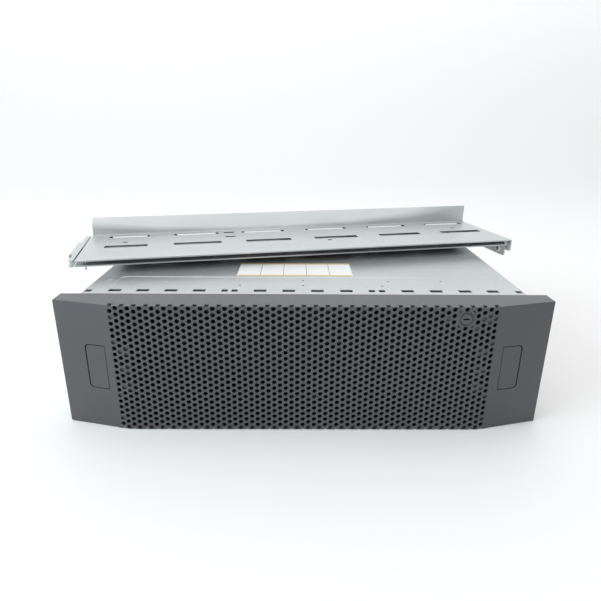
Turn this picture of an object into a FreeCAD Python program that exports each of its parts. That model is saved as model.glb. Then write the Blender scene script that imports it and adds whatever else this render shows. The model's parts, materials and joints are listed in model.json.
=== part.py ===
import FreeCAD, Part
import math
import os

os.makedirs("parts", exist_ok=True)
V = FreeCAD.Vector

# A three-unit disk array enclosure for a 19-inch rack, with its pair of rack rails on top.
# Millimetres. +X is right seen from the front, +Y is to the rear, +Z is up.
# The origin is the centre of the chassis floor's underside.

# Sheet metal and general clearances
sheet = 1.2
seat_gap = 0.3
pin_clear = 0.05
press_gap = 0.02
# How far a cut runs past the face that it opens, and how far a joined piece runs into its neighbour
past = 1.0
# Lever and latch pins, eyes, bores and the blower are many-sided, to keep the faces few
peg_sides = 8
disc_sides = 10

# Disk modules: a 3.5-inch disk on edge in a carrier
disk_width = 25.4
disk_height = 101.6
disk_length = 147.0
carrier_side = 1.2
disk_play = 0.7
carrier_runner = 3.0
disk_headroom = 7.1
carrier_front = 4.0
carrier_tail = 4.0
disk_front_room = 6.0
disk_rear_room = 17.7
carrier_width = disk_width + carrier_side + disk_play
carrier_height = disk_height + 2 * (carrier_runner + disk_headroom)
carrier_length = carrier_front + disk_front_room + disk_length + disk_rear_room + carrier_tail
vent_slot_width = 17.0
vent_slot_height = 6.0
vent_slot_pitch = 8.5
vent_slot_count = 1

# Ejector lever on each carrier
lever_width = 22.0
lever_thickness = 3.0
lever_length = 88.0
lever_grip = 12.0
lever_grip_cut = 1.4
lever_pin_radius = 0.9
lever_knuckle_wall = 1.0
lever_side_gap = 0.4
lever_ear = 1.6
lever_pivot_height = 9.0
lever_back_gap = 0.9

# Bays: three groups of five
bays_in_group = 5
bay_groups = 3
bay_gap = 1.6
group_gap = 3.6
bay_side_room = 0.7
bay_pitch = carrier_width + bay_gap
group_pitch = bays_in_group * bay_pitch + group_gap
guide_plate = 3.0
guide_clear = 0.4
guide_rib_height = 4.8

# Chassis
cover_recess = 0.8
chassis_width = (bay_groups * bays_in_group * bay_pitch + (bay_groups - 1) * group_gap
                 + 2 * (bay_side_room + sheet))
chassis_depth = 355.6
chassis_height = 2 * sheet + cover_recess + 2 * (guide_plate + guide_clear) + carrier_height
tray_flange = 9.0
recess_margin = 19.0
recess_depth_y = 61.0
recess_corner_x = 12.0
recess_corner_y = 9.0
cover_lip = 3.0
cover_slot_long = 12.8
cover_slot_wide = 7.1
cover_slot_setback = 11.7

# Midplane
midplane_thickness = 2.0
midplane_side_gap = 3.0
midplane_vent_width = 8.0
midplane_vent_margin = 14.0
drive_plug_width = 8.0
drive_plug_height = 42.0
drive_plug_length = 3.7
module_plug_width = 70.0
module_plug_height = 9.0
module_plug_length = 7.7

# Rear modules: power and cooling units outside, link control cards between them
module_gap = 0.3
module_play = 0.35
module_wall = 1.0
shelf_flange = 8.0
shelf_inset = 2.0
card_height = 21.4
panel_inset = 9.8
inlet_width = 27.6
inlet_height = 20.4
inlet_depth = 15.0
inlet_wall = 3.0
inlet_offset = 168.0
fan_vent_width = 4.5
fan_vent_height = 26.0
fan_vent_pitch = 10.0
fan_vent_count = 8
fan_vent_offset = 10.0
blower_radius = 48.0
blower_height = 24.0
blower_hub_radius = 19.0
blower_disc = 1.6
blower_blades = 7
blower_blade_chord = 15.0
blower_blade_thickness = 1.6
blower_blade_angle = 35.0
blower_ring = 5.0
blower_setback = 16.0
spindle_radius = 4.0
spindle_shoulder_radius = 8.0
spindle_shoulder = 2.0
bail_width = 96.0
bail_drop = 20.0
bail_bar = 7.0
bail_thickness = 4.0
bail_pin_radius = 1.6
bail_eye_wall = 1.6
bail_standoff = 5.0
bail_lug = 5.0
bail_offset = 140.0
bail_top_room = 6.0
port_width = 16.0
port_height = 10.5
port_depth = 13.0
port_wall = 1.5
port_offsets = (-150.0, -118.0, -30.0, 2.0)
ejector_length = 66.0
ejector_thickness = 4.0
ejector_height = 9.0
ejector_pin_radius = 1.6
ejector_eye_wall = 1.6
ejector_standoff = 5.0
ejector_lug = 2.5
ejector_offset = 196.0
ejector_nub = 8.0

# Rack ears: holes on the rack standard's grid
rack_width = 482.6
rack_hole_span = 465.12
rack_hole_rise = 57.15
rack_hole_radius = 3.55
ear_thickness = 2.0
ear_edge_gap = 1.2
ear_height_margin = 2.0
ear_leg = 38.0
ear_leg_margin = 10.0

# Front bezel: one moulding with a perforated centre and swept-back wings
bezel_height = 133.0
bezel_lift = 0.3
bezel_depth = 36.0
bezel_wall = 3.0
grille_thickness = 5.0
bezel_flat = 352.5
wing_setback = 16.4
# The moulding's round holes are 4.4 across, 6.43 apart. Each hexagon stands for a cluster of them.
grille_pitch = 25.4
grille_web = 7.6
grille_margin_z = 4.0
grille_half = 183.5
clip_block = 7.0
clip_inset = 8.5
clip_pitch = 19.3

# Key lock in the grille
lock_x = 151.6
lock_drop = 12.2
lock_patch = 12.5
lock_plug_radius = 5.25
lock_barrel_wall = 1.9
lock_flange = 1.3
lock_flange_thickness = 2.0
lock_barrel_length = 24.0
lock_recess = 0.2
key_slot_width = 1.4
key_slot_length = 6.0
key_slot_depth = 8.0
lock_tail = 6.0
cam_reach = 7.2
cam_half_width = 4.0
cam_thickness = 2.0
cam_lip_gap = 0.7

# Bezel latches in the wings
pad_inner = 192.6
pad_width = 19.7
pad_bottom = 44.3
pad_height = 45.8
pad_corner = 4.0
pad_gap = 0.4
pad_outer_gap = 1.0
pad_thickness = 3.0
latch_pin_radius = 1.2
latch_knuckle_wall = 1.2
latch_pivot_inset = 3.8
latch_pivot_depth = 6.2
latch_lug = 4.0
latch_lug_side = 3.4
latch_arm = 2.5
latch_arm_height = 19.0
latch_arm_inset = 13.4
latch_arm_depth = 22.0
tongue_x = 228.5
tongue_past_ear = 4.0
tongue_barb = 1.5
tongue_barb_length = 3.0
window_inner_room = 3.1
window_outer_room = 5.5
window_end_room = 3.0

# Rack rails: folded sheet, lying stacked on the cover at an angle
rail_yaw = 12.1
rail_sheet = 1.5
rail_length = 541.0
rail_left = -316.5
rail_web = 128.5
rail_ledge = 25.5
rail_ledge_start = 2.5
rail_ledge_stop = 2.5
rail_end_drop = 16.0
rail_end_margin = 2.0
rail_end_hole_radius = 3.3
rail_end_hole_inset = 14.0
rail_slot_length = 58.8
rail_slot_width = 11.0
rail_slot_pitch = 90.5
rail_slot_count = 6
rail_slot_first = -271.5
rail_slot_first_cut = 8.0
rail_slot_rows = (60.2, 112.8)
rail_flap_drop = 6.5
rail_flap_land = 2.0
rail_flap_gap = 0.8
rail_place_x = 57.3
rail_place_y = -46.4
rail_nest_u = -2.5
rail_nest_v = 8.4
rail_stud_radius = 1.5
rail_stud_inset = 9.5
rail_stud_v = 12.0
tongue_width = 33.0
tongue_length = 245.0
tongue_v = 86.5
keeper_length = 12.0
keeper_wall = 1.2
keeper_places = (-294.0, -211.0)
adjuster_gap = 1.2
adjuster_strip = 6.0
adjuster_corner = 2.4
adjuster_channel = 6.0
adjuster_channel_start = 37.0
adjuster_channel_length = 62.0
adjuster_channel_wall = 1.1

# Worked-out places
half_width = chassis_width / 2
inner_half = half_width - sheet
front_y = -chassis_depth / 2
rear_y = chassis_depth / 2
cover_under = chassis_height - sheet
recess_under = cover_under - cover_recess
bezel_y = front_y - bezel_depth
bezel_top = bezel_lift + bezel_height
lock_height = bezel_top - lock_drop
pad_outer = pad_inner + pad_width
latch_pivot_x = pad_inner + latch_pivot_inset
latch_arm_x = pad_inner + latch_arm_inset
bezel_half = rack_width / 2
flat_half = bezel_flat / 2
wing_slope = wing_setback / (bezel_half - flat_half)
lever_knuckle_radius = lever_pin_radius + pin_clear + lever_knuckle_wall
cam_y = front_y + sheet + cam_lip_gap
lever_front_y = cam_y + cam_thickness + cam_lip_gap + seat_gap
lever_pivot_y = lever_front_y + lever_thickness / 2
carrier_y = lever_front_y + lever_thickness + lever_back_gap
carrier_z = sheet + guide_plate + guide_clear
carrier_top = carrier_z + carrier_height
guide_front = lever_front_y
carrier_end = carrier_y + carrier_length
midplane_y = carrier_end + seat_gap + drive_plug_length
module_y = midplane_y + midplane_thickness + module_plug_length + seat_gap
panel_y = rear_y - panel_inset
module_half = inner_half - sheet - module_play
# floor, three shelves, the tray's flange and the cover stand between and around the rear modules
power_height = (chassis_height - 6 * sheet - 8 * module_gap - 2 * card_height) / 2
bay_centres = [(group - (bay_groups - 1) / 2) * group_pitch + (bay - (bays_in_group - 1) / 2) * bay_pitch
               for group in range(bay_groups) for bay in range(bays_in_group)]


def block(x0, x1, y0, y1, z0, z1):
    return Part.makeBox(x1 - x0, y1 - y0, z1 - z0, V(x0, y0, z0))


def rod(radius, start, end):
    run = end - start
    return Part.makeCylinder(radius, run.Length, start, run)


def prism(points, run):
    return Part.Face(Part.makePolygon(points + points[:1])).extrude(run)


def peg(radius, start, end, sides=peg_sides):
    # a many-sided rod whose corners lie on the radius
    run = end - start
    across = run.cross(V(0, 1, 0) if abs(run.x) > 0 or abs(run.z) > 0 else V(1, 0, 0)).normalize() * radius
    turn = FreeCAD.Rotation(run, 360.0 / sides)
    points = []
    for corner in range(sides):
        points.append(start + across)
        across = turn.multVec(across)
    return prism(points, run)


def peg_bore(radius, start, end, sides=peg_sides):
    # a many-sided hole whose flats lie on the radius
    return peg(radius / math.cos(math.pi / sides), start, end, sides)


def joined(shapes):
    return shapes[0].fuse(shapes[1:]).removeSplitter()


def save(name, *solids):
    shape = solids[0] if len(solids) == 1 else Part.makeCompound(solids)
    shape.exportStep("parts/" + name + ".step")


def wing_y(x):
    return bezel_y + max(0.0, x - flat_half) * wing_slope


def wing_outline(setback, side_wall):
    # plan of the bezel from its front face back to the open rear, moved in by a wall
    front = bezel_y + setback
    out = bezel_half - side_wall
    swept = bezel_y + wing_setback + setback
    back = bezel_y + bezel_depth
    return [(-flat_half, front), (flat_half, front), (out, swept), (out, back), (-out, back), (-out, swept)]


def chassis_tray():
    floor = block(-half_width, half_width, front_y, rear_y, 0, sheet)
    parts = [floor]
    for side in (-1, 1):
        wall = sorted((side * half_width, side * inner_half))
        flange = sorted((side * half_width, side * (half_width - tray_flange)))
        parts.append(block(*wall, front_y, rear_y, 0, cover_under))
        parts.append(block(*flange, front_y, rear_y, cover_under - sheet, cover_under))
    return joined(parts)


def slot_places():
    # a slot over each wall between bays, and a half slot beside each end wall of a group
    places = []
    for group in range(bay_groups):
        centre = (group - (bay_groups - 1) / 2) * group_pitch
        for wall in range(bays_in_group + 1):
            x = centre + (wall - bays_in_group / 2) * bay_pitch
            low = x if wall == 0 else x - cover_slot_long / 2
            high = x if wall == bays_in_group else x + cover_slot_long / 2
            places.append((low, high))
    return places


def top_cover():
    plate = block(-half_width, half_width, front_y, rear_y, cover_under, chassis_height)
    wide = half_width - recess_margin
    near = front_y
    far = front_y + recess_depth_y
    outline = [(-wide, near), (wide, near), (wide, far - recess_corner_y), (wide - recess_corner_x, far),
               (-wide + recess_corner_x, far), (-wide, far - recess_corner_y)]
    sunk = [V(x, y, chassis_height - cover_recess) for x, y in outline]
    under = [V(x, y, recess_under) for x, y in outline]
    plate = plate.cut(prism(sunk, V(0, 0, cover_recess)))
    lip = block(-wide, wide, front_y, front_y + sheet, recess_under - cover_lip, recess_under)
    cover = joined([plate, prism(under, V(0, 0, sheet)), lip])
    slot_y = front_y + cover_slot_setback
    slots = [block(low, high, slot_y, slot_y + cover_slot_wide, recess_under - past,
                   chassis_height + past)
             for low, high in slot_places()]
    return cover.cut(slots)


def guide_rack(plate_z, rib_z):
    plate = block(-inner_half + seat_gap, inner_half - seat_gap, guide_front, carrier_end, plate_z,
                  plate_z + guide_plate)
    ribs = [plate]
    edges = [(x - carrier_width / 2, x + carrier_width / 2) for x in bay_centres]
    starts = [-inner_half] + [right for left, right in edges]
    ends = [left for left, right in edges] + [inner_half]
    for start, end in zip(starts, ends):
        ribs.append(block(start + seat_gap, end - seat_gap, guide_front, carrier_end, rib_z,
                          rib_z + guide_rib_height))
    return joined(ribs)


def upper_guides():
    # the side edges are stepped down to pass under the tray's flanges
    rack = guide_rack(carrier_top + guide_clear, carrier_top + guide_clear - guide_rib_height)
    steps = []
    for side in (-1, 1):
        edge = sorted((side * half_width, side * (half_width - tray_flange - seat_gap)))
        steps.append(block(*edge, guide_front, carrier_end, cover_under - sheet - seat_gap, cover_under))
    return rack.cut(steps)


def midplane_board():
    half = inner_half - midplane_side_gap
    board = block(-half, half, midplane_y, midplane_y + midplane_thickness, sheet, cover_under - sheet)
    vents = []
    for left, right in zip(bay_centres, bay_centres[1:]):
        x = (left + right) / 2
        vents.append(block(x - midplane_vent_width / 2, x + midplane_vent_width / 2, midplane_y - past,
                           midplane_y + midplane_thickness + past, sheet + midplane_vent_margin,
                           cover_under - midplane_vent_margin))
    return board.cut(vents)


def module_rows():
    # name, bottom and height of each rear module, from the floor up
    rows = []
    z = sheet
    for name, height in (("power_a", power_height), ("card_a", card_height), ("card_b", card_height),
                         ("power_b", power_height)):
        z += module_gap
        rows.append((name, z, height))
        z += height + module_gap + sheet
    return rows


def midplane_plugs():
    plugs = []
    middle = carrier_z + carrier_height / 2
    for x in bay_centres:
        plugs.append(block(x - drive_plug_width / 2, x + drive_plug_width / 2, midplane_y - drive_plug_length,
                           midplane_y, middle - drive_plug_height / 2, middle + drive_plug_height / 2))
    back = midplane_y + midplane_thickness
    for name, z, height in module_rows():
        plugs.append(block(-module_plug_width / 2, module_plug_width / 2, back, back + module_plug_length,
                           z + height / 2 - module_plug_height / 2, z + height / 2 + module_plug_height / 2))
    return plugs


def module_shelves():
    shelves = []
    for name, z, height in module_rows()[:-1]:
        top = z + height + module_gap + sheet
        parts = [block(-inner_half, inner_half, module_y, rear_y - shelf_inset, top - sheet, top)]
        for side in (-1, 1):
            flange = sorted((side * inner_half, side * (inner_half - sheet)))
            parts.append(block(*flange, module_y, rear_y - shelf_inset, top - shelf_flange, top))
        shelves.append(joined(parts))
    return shelves


def tongue_window():
    low = tongue_x - window_inner_room
    high = tongue_x + latch_arm + window_outer_room
    middle = pad_bottom + pad_height / 2
    half = latch_arm_height / 2 + window_end_room
    return low, high, middle - half, middle + half


def rack_ear(side):
    def across(a, b):
        return sorted((side * a, side * b))

    outer = bezel_half - ear_edge_gap
    middle = chassis_height / 2
    flange = block(*across(half_width, outer), front_y, front_y + ear_thickness, ear_height_margin,
                   chassis_height - ear_height_margin)
    leg = block(*across(half_width, half_width + ear_thickness), front_y, front_y + ear_leg, ear_leg_margin,
                chassis_height - ear_leg_margin)
    ear = joined([flange, leg])
    for rise in (-rack_hole_rise / 2, rack_hole_rise / 2):
        start = V(side * rack_hole_span / 2, front_y - past, middle + rise)
        ear = ear.cut(rod(rack_hole_radius, start, start + V(0, ear_thickness + 2 * past, 0)))
    low, high, bottom, top = tongue_window()
    return ear.cut(block(*across(low, high), front_y - past, front_y + ear_thickness + past, bottom, top))


def hexagon(x, z, across_flats):
    radius = across_flats / math.sqrt(3)
    turns = [math.radians(60 * corner) for corner in range(6)]
    return [V(x + radius * math.cos(turn), bezel_y - past, z + radius * math.sin(turn)) for turn in turns]


def grille_holes():
    step = grille_pitch * math.sqrt(3) / 2
    flats = grille_pitch - grille_web
    columns = int((grille_half - flats / math.sqrt(3)) / step)
    low = bezel_lift + grille_margin_z + flats / 2
    high = bezel_top - grille_margin_z - flats / 2
    middle = (low + high) / 2
    rows = int((high - low) / 2 / grille_pitch) + 1
    holes = []
    for column in range(-columns, columns + 1):
        x = column * step
        shift = grille_pitch / 2 if column % 2 else 0.0
        for row in range(-rows, rows + 1):
            z = middle + row * grille_pitch + shift
            clear = math.hypot(x - lock_x, z - lock_height) > lock_patch + flats / 2
            if low <= z <= high and clear:
                holes.append(prism(hexagon(x, z, flats), V(0, grille_thickness + 2 * past, 0)))
    return holes


def pad_section(gap_inner, gap_outer, depth, forward):
    # plan of the latch pad, or of its window with the gaps added
    inner = pad_inner - gap_inner
    outer = pad_outer + gap_outer
    return [(inner, wing_y(inner) - forward), (outer, wing_y(outer) - forward),
            (outer, wing_y(outer) + depth), (inner, wing_y(inner) + depth)]


def pad_solid(side, gap_inner, gap_outer, gap_z, depth, forward):
    section = pad_section(gap_inner, gap_outer, depth, forward)
    points = [V(side * x, y, pad_bottom - gap_z) for x, y in section]
    solid = prism(points, V(0, 0, pad_height + 2 * gap_z))
    outer = side * (pad_outer + gap_outer)
    edges = [edge for edge in solid.Edges
             if all(abs(vertex.X - outer) < pin_clear for vertex in edge.Vertexes)
             and abs(edge.Vertexes[0].Y - edge.Vertexes[1].Y) > pin_clear]
    return solid.makeFillet(pad_corner, edges)


def latch_pivot(side):
    return side * latch_pivot_x, wing_y(latch_pivot_x) + latch_pivot_depth


def lug_heights():
    above = pad_bottom + pad_height + pad_gap
    below = pad_bottom - pad_gap
    return (below - latch_lug, below), (above, above + latch_lug)


def bezel_shell():
    body = prism([V(x, y, bezel_lift) for x, y in wing_outline(0, 0)], V(0, 0, bezel_height))
    inner = [V(x, y, bezel_lift + bezel_wall) for x, y in wing_outline(grille_thickness, bezel_wall)]
    shell = body.cut(prism(inner, V(0, 0, bezel_height - 2 * bezel_wall)))
    extras = []
    cuts = grille_holes()
    back = bezel_y + grille_thickness
    for side in (-1, 1):
        x, y = latch_pivot(side)
        for low, high in lug_heights():
            lug = block(x - latch_lug_side, x + latch_lug_side, wing_y(abs(x) - latch_lug_side) + bezel_wall,
                        y + latch_lug_side, low, high)
            extras.append(lug)
        foot = V(x, y, lug_heights()[0][0])
        crown = V(x, y, lug_heights()[1][1])
        cuts.append(peg_bore(latch_pin_radius + press_gap, foot, crown))
        for step in (-1, 0, 1):
            clip_x = side * (grille_half - clip_inset)
            z = bezel_lift + bezel_height / 2 + step * clip_pitch
            extras.append(block(clip_x - clip_block / 2, clip_x + clip_block / 2, back - past / 2,
                                back + clip_block, z - clip_block / 2, z + clip_block / 2))
    shell = joined([shell] + extras)
    for side in (-1, 1):
        cuts.append(pad_solid(side, pad_gap, pad_outer_gap, pad_gap, grille_thickness + past, past))
    barrel = lock_plug_radius + pin_clear + lock_barrel_wall
    start = V(lock_x, bezel_y - past, lock_height)
    cuts.append(peg(barrel + press_gap, start, start + V(0, grille_thickness + 2 * past, 0), disc_sides))
    return shell.cut(cuts)


def latch(side):
    x, y = latch_pivot(side)
    pad = pad_solid(side, 0, 0, 0, pad_thickness, 0)
    knuckle_radius = latch_pin_radius + pin_clear + latch_knuckle_wall
    low, high = pad_bottom, pad_bottom + pad_height
    middle = (low + high) / 2
    half = latch_arm_height / 2
    pad_back = wing_y(abs(x)) + pad_thickness
    knuckle = peg(knuckle_radius, V(x, y, low), V(x, y, high))
    rib = block(x - knuckle_radius, x + knuckle_radius, pad_back - past, y, low, high)

    def across(a, b):
        return sorted((side * a, side * b))

    turn_y = bezel_y + latch_arm_depth
    tip_y = front_y + ear_thickness + tongue_past_ear
    root = block(*across(latch_arm_x - latch_arm, latch_arm_x), wing_y(latch_arm_x) + pad_thickness - past,
                 turn_y, middle - half, middle + half)
    cross = block(*across(latch_arm_x - latch_arm, tongue_x + latch_arm), turn_y - latch_arm, turn_y,
                  middle - half, middle + half)
    tongue = block(*across(tongue_x, tongue_x + latch_arm), turn_y - latch_arm, tip_y, middle - half,
                   middle + half)
    barb_plan = [(tongue_x + latch_arm, tip_y - tongue_barb_length),
                 (tongue_x + latch_arm + tongue_barb, tip_y - tongue_barb_length),
                 (tongue_x + latch_arm, tip_y)]
    barb = prism([V(side * a, b, middle - half) for a, b in barb_plan], V(0, 0, latch_arm_height))
    body = joined([pad, knuckle, rib, root, cross, tongue, barb])
    return body.cut(peg_bore(latch_pin_radius + pin_clear, V(x, y, low - past), V(x, y, high + past)))


def latch_pin(side):
    x, y = latch_pivot(side)
    (low, _), (_, high) = lug_heights()
    return peg(latch_pin_radius, V(x, y, low), V(x, y, high))


def lock_barrel():
    start = V(lock_x, bezel_y + lock_recess, lock_height)
    outer = lock_plug_radius + pin_clear + lock_barrel_wall
    body = peg(outer, start, start + V(0, lock_barrel_length, 0), disc_sides)
    behind = V(lock_x, bezel_y + grille_thickness, lock_height)
    flange = peg(outer + lock_flange, behind, behind + V(0, lock_flange_thickness, 0), 6)
    reach = V(0, lock_barrel_length + past, 0)
    bore = rod(lock_plug_radius + pin_clear, start - V(0, past, 0), start + reach)
    return joined([body, flange]).cut(bore)


def lock_plug():
    start = V(lock_x, bezel_y + lock_recess, lock_height)
    length = cam_y - seat_gap - start.y
    plug = rod(lock_plug_radius, start, start + V(0, length, 0))
    key = block(lock_x - key_slot_length / 2, lock_x + key_slot_length / 2, start.y - past,
                start.y + key_slot_depth, lock_height - key_slot_width / 2, lock_height + key_slot_width / 2)
    tail = block(lock_x - lock_tail / 2, lock_x + lock_tail / 2, start.y + length - past,
                 cam_y + cam_thickness, lock_height - lock_tail / 2, lock_height + lock_tail / 2)
    return joined([plug.cut(key), tail])


def lock_cam():
    # the cam lies level when open and points up behind the cover's lip when locked
    start = V(lock_x, cam_y, lock_height)
    hub = peg(lock_plug_radius, start, start + V(0, cam_thickness, 0))
    arm = block(lock_x - cam_reach, lock_x, cam_y, cam_y + cam_thickness, lock_height - cam_half_width,
                lock_height + cam_half_width)
    hole = lock_tail / 2 + press_gap
    square = block(lock_x - hole, lock_x + hole, cam_y - past, cam_y + cam_thickness + past,
                   lock_height - hole, lock_height + hole)
    return joined([hub, arm]).cut(square)


def carrier(x):
    left = x - carrier_width / 2
    right = x + carrier_width / 2
    pivot_z = carrier_z + lever_pivot_height
    parts = [block(left, right, carrier_y, carrier_y + carrier_front, carrier_z, carrier_top),
             block(left, right, carrier_y, carrier_end, carrier_z, carrier_z + carrier_runner),
             block(left, right, carrier_y, carrier_end, carrier_top - carrier_runner, carrier_top),
             block(left, left + carrier_side, carrier_y, carrier_end, carrier_z, carrier_top),
             block(left, right, carrier_end - carrier_tail, carrier_end, carrier_z, carrier_top)]
    for side in (-1, 1):
        inner = x + side * (lever_width / 2 + lever_side_gap)
        ear = sorted((inner, inner + side * lever_ear))
        parts.append(block(*ear, lever_pivot_y - lever_knuckle_radius, carrier_y,
                           pivot_z - lever_knuckle_radius, pivot_z + lever_knuckle_radius))
    parts.append(peg(lever_pin_radius, V(x - lever_width / 2 - lever_side_gap, lever_pivot_y, pivot_z),
                     V(x + lever_width / 2 + lever_side_gap, lever_pivot_y, pivot_z)))
    vents = []
    for row in range(vent_slot_count):
        z = carrier_top - carrier_runner - (row + 1) * vent_slot_pitch
        vents.append(block(x - vent_slot_width / 2, x + vent_slot_width / 2, carrier_y - past,
                           carrier_y + carrier_front + past, z, z + vent_slot_height))
    return joined(parts).cut(vents)


def disk(x):
    left = x - carrier_width / 2 + carrier_side
    front = carrier_y + carrier_front + disk_front_room
    bottom = carrier_z + carrier_runner + disk_headroom
    return block(left, left + disk_width, front, front + disk_length, bottom, bottom + disk_height)


def drive_lever(x):
    pivot_z = carrier_z + lever_pivot_height
    left = x - lever_width / 2
    right = x + lever_width / 2
    back_y = lever_front_y + lever_thickness
    top = pivot_z + lever_length
    # side profile: a flat bar with a finger scoop cut into the back of its free end
    profile = [V(left, lever_front_y, pivot_z), V(left, back_y, pivot_z), V(left, back_y, top - lever_grip),
               V(left, back_y - lever_grip_cut, top - lever_grip + lever_grip_cut),
               V(left, back_y - lever_grip_cut, top), V(left, lever_front_y, top)]
    bar = prism(profile, V(lever_width, 0, 0))
    knuckle = peg(lever_knuckle_radius, V(left, lever_pivot_y, pivot_z), V(right, lever_pivot_y, pivot_z))
    bore = peg_bore(lever_pin_radius + pin_clear, V(left - past, lever_pivot_y, pivot_z),
                    V(right + past, lever_pivot_y, pivot_z))
    return joined([bar, knuckle]).cut(bore)


def module_box(z, height):
    outer = block(-module_half, module_half, module_y, panel_y, z, z + height)
    inner = block(-module_half + module_wall, module_half - module_wall, module_y + module_wall,
                  panel_y - module_wall, z + module_wall, z + height - module_wall)
    return outer.cut(inner)


def pocket(x, z, width, height, depth, wall):
    # a blind socket behind the rear panel: its surround, and the space to cut
    surround = block(x - width / 2 - wall, x + width / 2 + wall, panel_y - depth - wall,
                     panel_y - module_wall / 2, z - height / 2 - wall, z + height / 2 + wall)
    space = block(x - width / 2, x + width / 2, panel_y - depth, panel_y + past, z - height / 2,
                  z + height / 2)
    return surround, space


def blower_centre(z):
    y = panel_y - module_wall - blower_setback - blower_radius
    return V(fan_vent_offset, y, z + module_wall + spindle_shoulder + seat_gap)


def bail_axis(z):
    return panel_y + bail_standoff, z + power_height - bail_top_room


def power_case(z):
    middle = z + power_height / 2
    surround, space = pocket(-inlet_offset, middle, inlet_width, inlet_height, inlet_depth, inlet_wall)
    base = blower_centre(z)
    floor = V(base.x, base.y, z + module_wall / 2)
    top = base + V(0, 0, blower_height)
    parts = [module_box(z, power_height), surround,
             peg(spindle_shoulder_radius, floor, V(base.x, base.y, base.z - seat_gap)),
             peg(spindle_radius, floor, top, disc_sides)]
    axis_y, axis_z = bail_axis(z)
    eye = bail_pin_radius + pin_clear + bail_eye_wall
    for side in (-1, 1):
        face = bail_offset + side * (bail_width / 2 + seat_gap)
        lug = sorted((face, face + side * bail_lug))
        parts.append(block(*lug, panel_y - module_wall / 2, axis_y + eye, axis_z - eye, axis_z + eye))
        tip = face - side * (bail_bar + seat_gap)
        parts.append(rod(bail_pin_radius, V(face, axis_y, axis_z), V(tip, axis_y, axis_z)))
    cuts = [space]
    for slot in range(fan_vent_count):
        x = fan_vent_offset + (slot - (fan_vent_count - 1) / 2) * fan_vent_pitch
        cuts.append(block(x - fan_vent_width / 2, x + fan_vent_width / 2, panel_y - module_wall - past,
                          panel_y + past, middle - fan_vent_height / 2, middle + fan_vent_height / 2))
    return joined(parts).cut(cuts)


def blower_rotor(z):
    base = blower_centre(z)
    top = base + V(0, 0, blower_height)
    disc = peg(blower_radius, base, base + V(0, 0, blower_disc), disc_sides)
    hub = peg(blower_hub_radius, base, top, disc_sides)
    ring = peg(blower_radius, top - V(0, 0, blower_disc), top, disc_sides)
    eye = blower_radius - blower_ring
    ring = ring.cut(peg(eye, top - V(0, 0, 2 * blower_disc), top + V(0, 0, past), disc_sides))
    reach = blower_radius - blower_ring / 2
    blades = []
    for number in range(blower_blades):
        blade = block(-blower_blade_chord, 0, -blower_blade_thickness / 2, blower_blade_thickness / 2, 0,
                      blower_height - blower_disc / 2)
        blade.rotate(V(0, 0, 0), V(0, 0, 1), blower_blade_angle)
        blade.translate(V(reach, 0, 0))
        blade.rotate(V(0, 0, 0), V(0, 0, 1), number * 360.0 / blower_blades)
        blade.translate(base)
        blades.append(blade)
    bore = peg_bore(spindle_radius + pin_clear, base - V(0, 0, past), top + V(0, 0, past), disc_sides)
    return joined([disc, hub, ring] + blades).cut(bore)


def power_bail(z):
    # a bail handle that hangs flat against the panel and swings out
    axis_y, axis_z = bail_axis(z)
    eye = bail_pin_radius + pin_clear + bail_eye_wall
    left = bail_offset - bail_width / 2
    right = bail_offset + bail_width / 2
    front = axis_y - bail_thickness / 2
    back = axis_y + bail_thickness / 2
    low = axis_z - bail_drop
    parts = [block(left, right, front, back, low, low + bail_bar)]
    bores = []
    for start, end in ((left, left + bail_bar), (right - bail_bar, right)):
        parts.append(block(start, end, front, back, low, axis_z))
        parts.append(peg(eye, V(start, axis_y, axis_z), V(end, axis_y, axis_z)))
        bores.append(peg_bore(bail_pin_radius + pin_clear, V(start - past, axis_y, axis_z),
                              V(end + past, axis_y, axis_z)))
    return joined(parts).cut(bores)


def ejector_axis():
    return ejector_offset, panel_y + ejector_standoff


def card_tray(z):
    middle = z + card_height / 2
    parts = [module_box(z, card_height)]
    cuts = []
    for x in port_offsets:
        surround, space = pocket(x, middle, port_width, port_height, port_depth, port_wall)
        parts.append(surround)
        cuts.append(space)
    x, y = ejector_axis()
    eye = ejector_pin_radius + pin_clear + ejector_eye_wall
    for side in (-1, 1):
        face = middle + side * (ejector_height / 2 + seat_gap)
        lug = sorted((face, face + side * ejector_lug))
        parts.append(block(x - eye, x + eye, panel_y - module_wall / 2, y + eye, *lug))
    reach = ejector_height / 2 + seat_gap + ejector_lug / 2
    parts.append(rod(ejector_pin_radius, V(x, y, middle - reach), V(x, y, middle + reach)))
    return joined(parts).cut(cuts)


def card_ejector(z):
    # a lever that lies along the panel and swings out about a vertical pin
    x, y = ejector_axis()
    middle = z + card_height / 2
    low = middle - ejector_height / 2
    high = middle + ejector_height / 2
    eye = ejector_pin_radius + pin_clear + ejector_eye_wall
    front = y - ejector_thickness / 2
    back = y + ejector_thickness / 2
    tip = x - ejector_length
    plan = [V(x, front, low), V(x, back, low), V(tip + ejector_nub, back, low), V(tip, front + past, low),
            V(tip, front, low)]
    bar = prism(plan, V(0, 0, ejector_height))
    boss = peg(eye, V(x, y, low), V(x, y, high))
    bore = peg_bore(ejector_pin_radius + pin_clear, V(x, y, low - past), V(x, y, high + past))
    return joined([bar, boss]).cut(bore)


def rail_placed(shape, level):
    # rails are drawn flat with u along the rail, v across it and the web's underside at zero
    lower = level == 0
    shape.translate(V(rail_nest_u if lower else 0.0, rail_nest_v if lower else 0.0, 0))
    shape.rotate(V(0, 0, 0), V(0, 0, 1), rail_yaw)
    web_z = chassis_height + rail_flap_drop + level * (rail_sheet + rail_flap_drop)
    shape.translate(V(rail_place_x, rail_place_y, web_z))
    return shape


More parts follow.
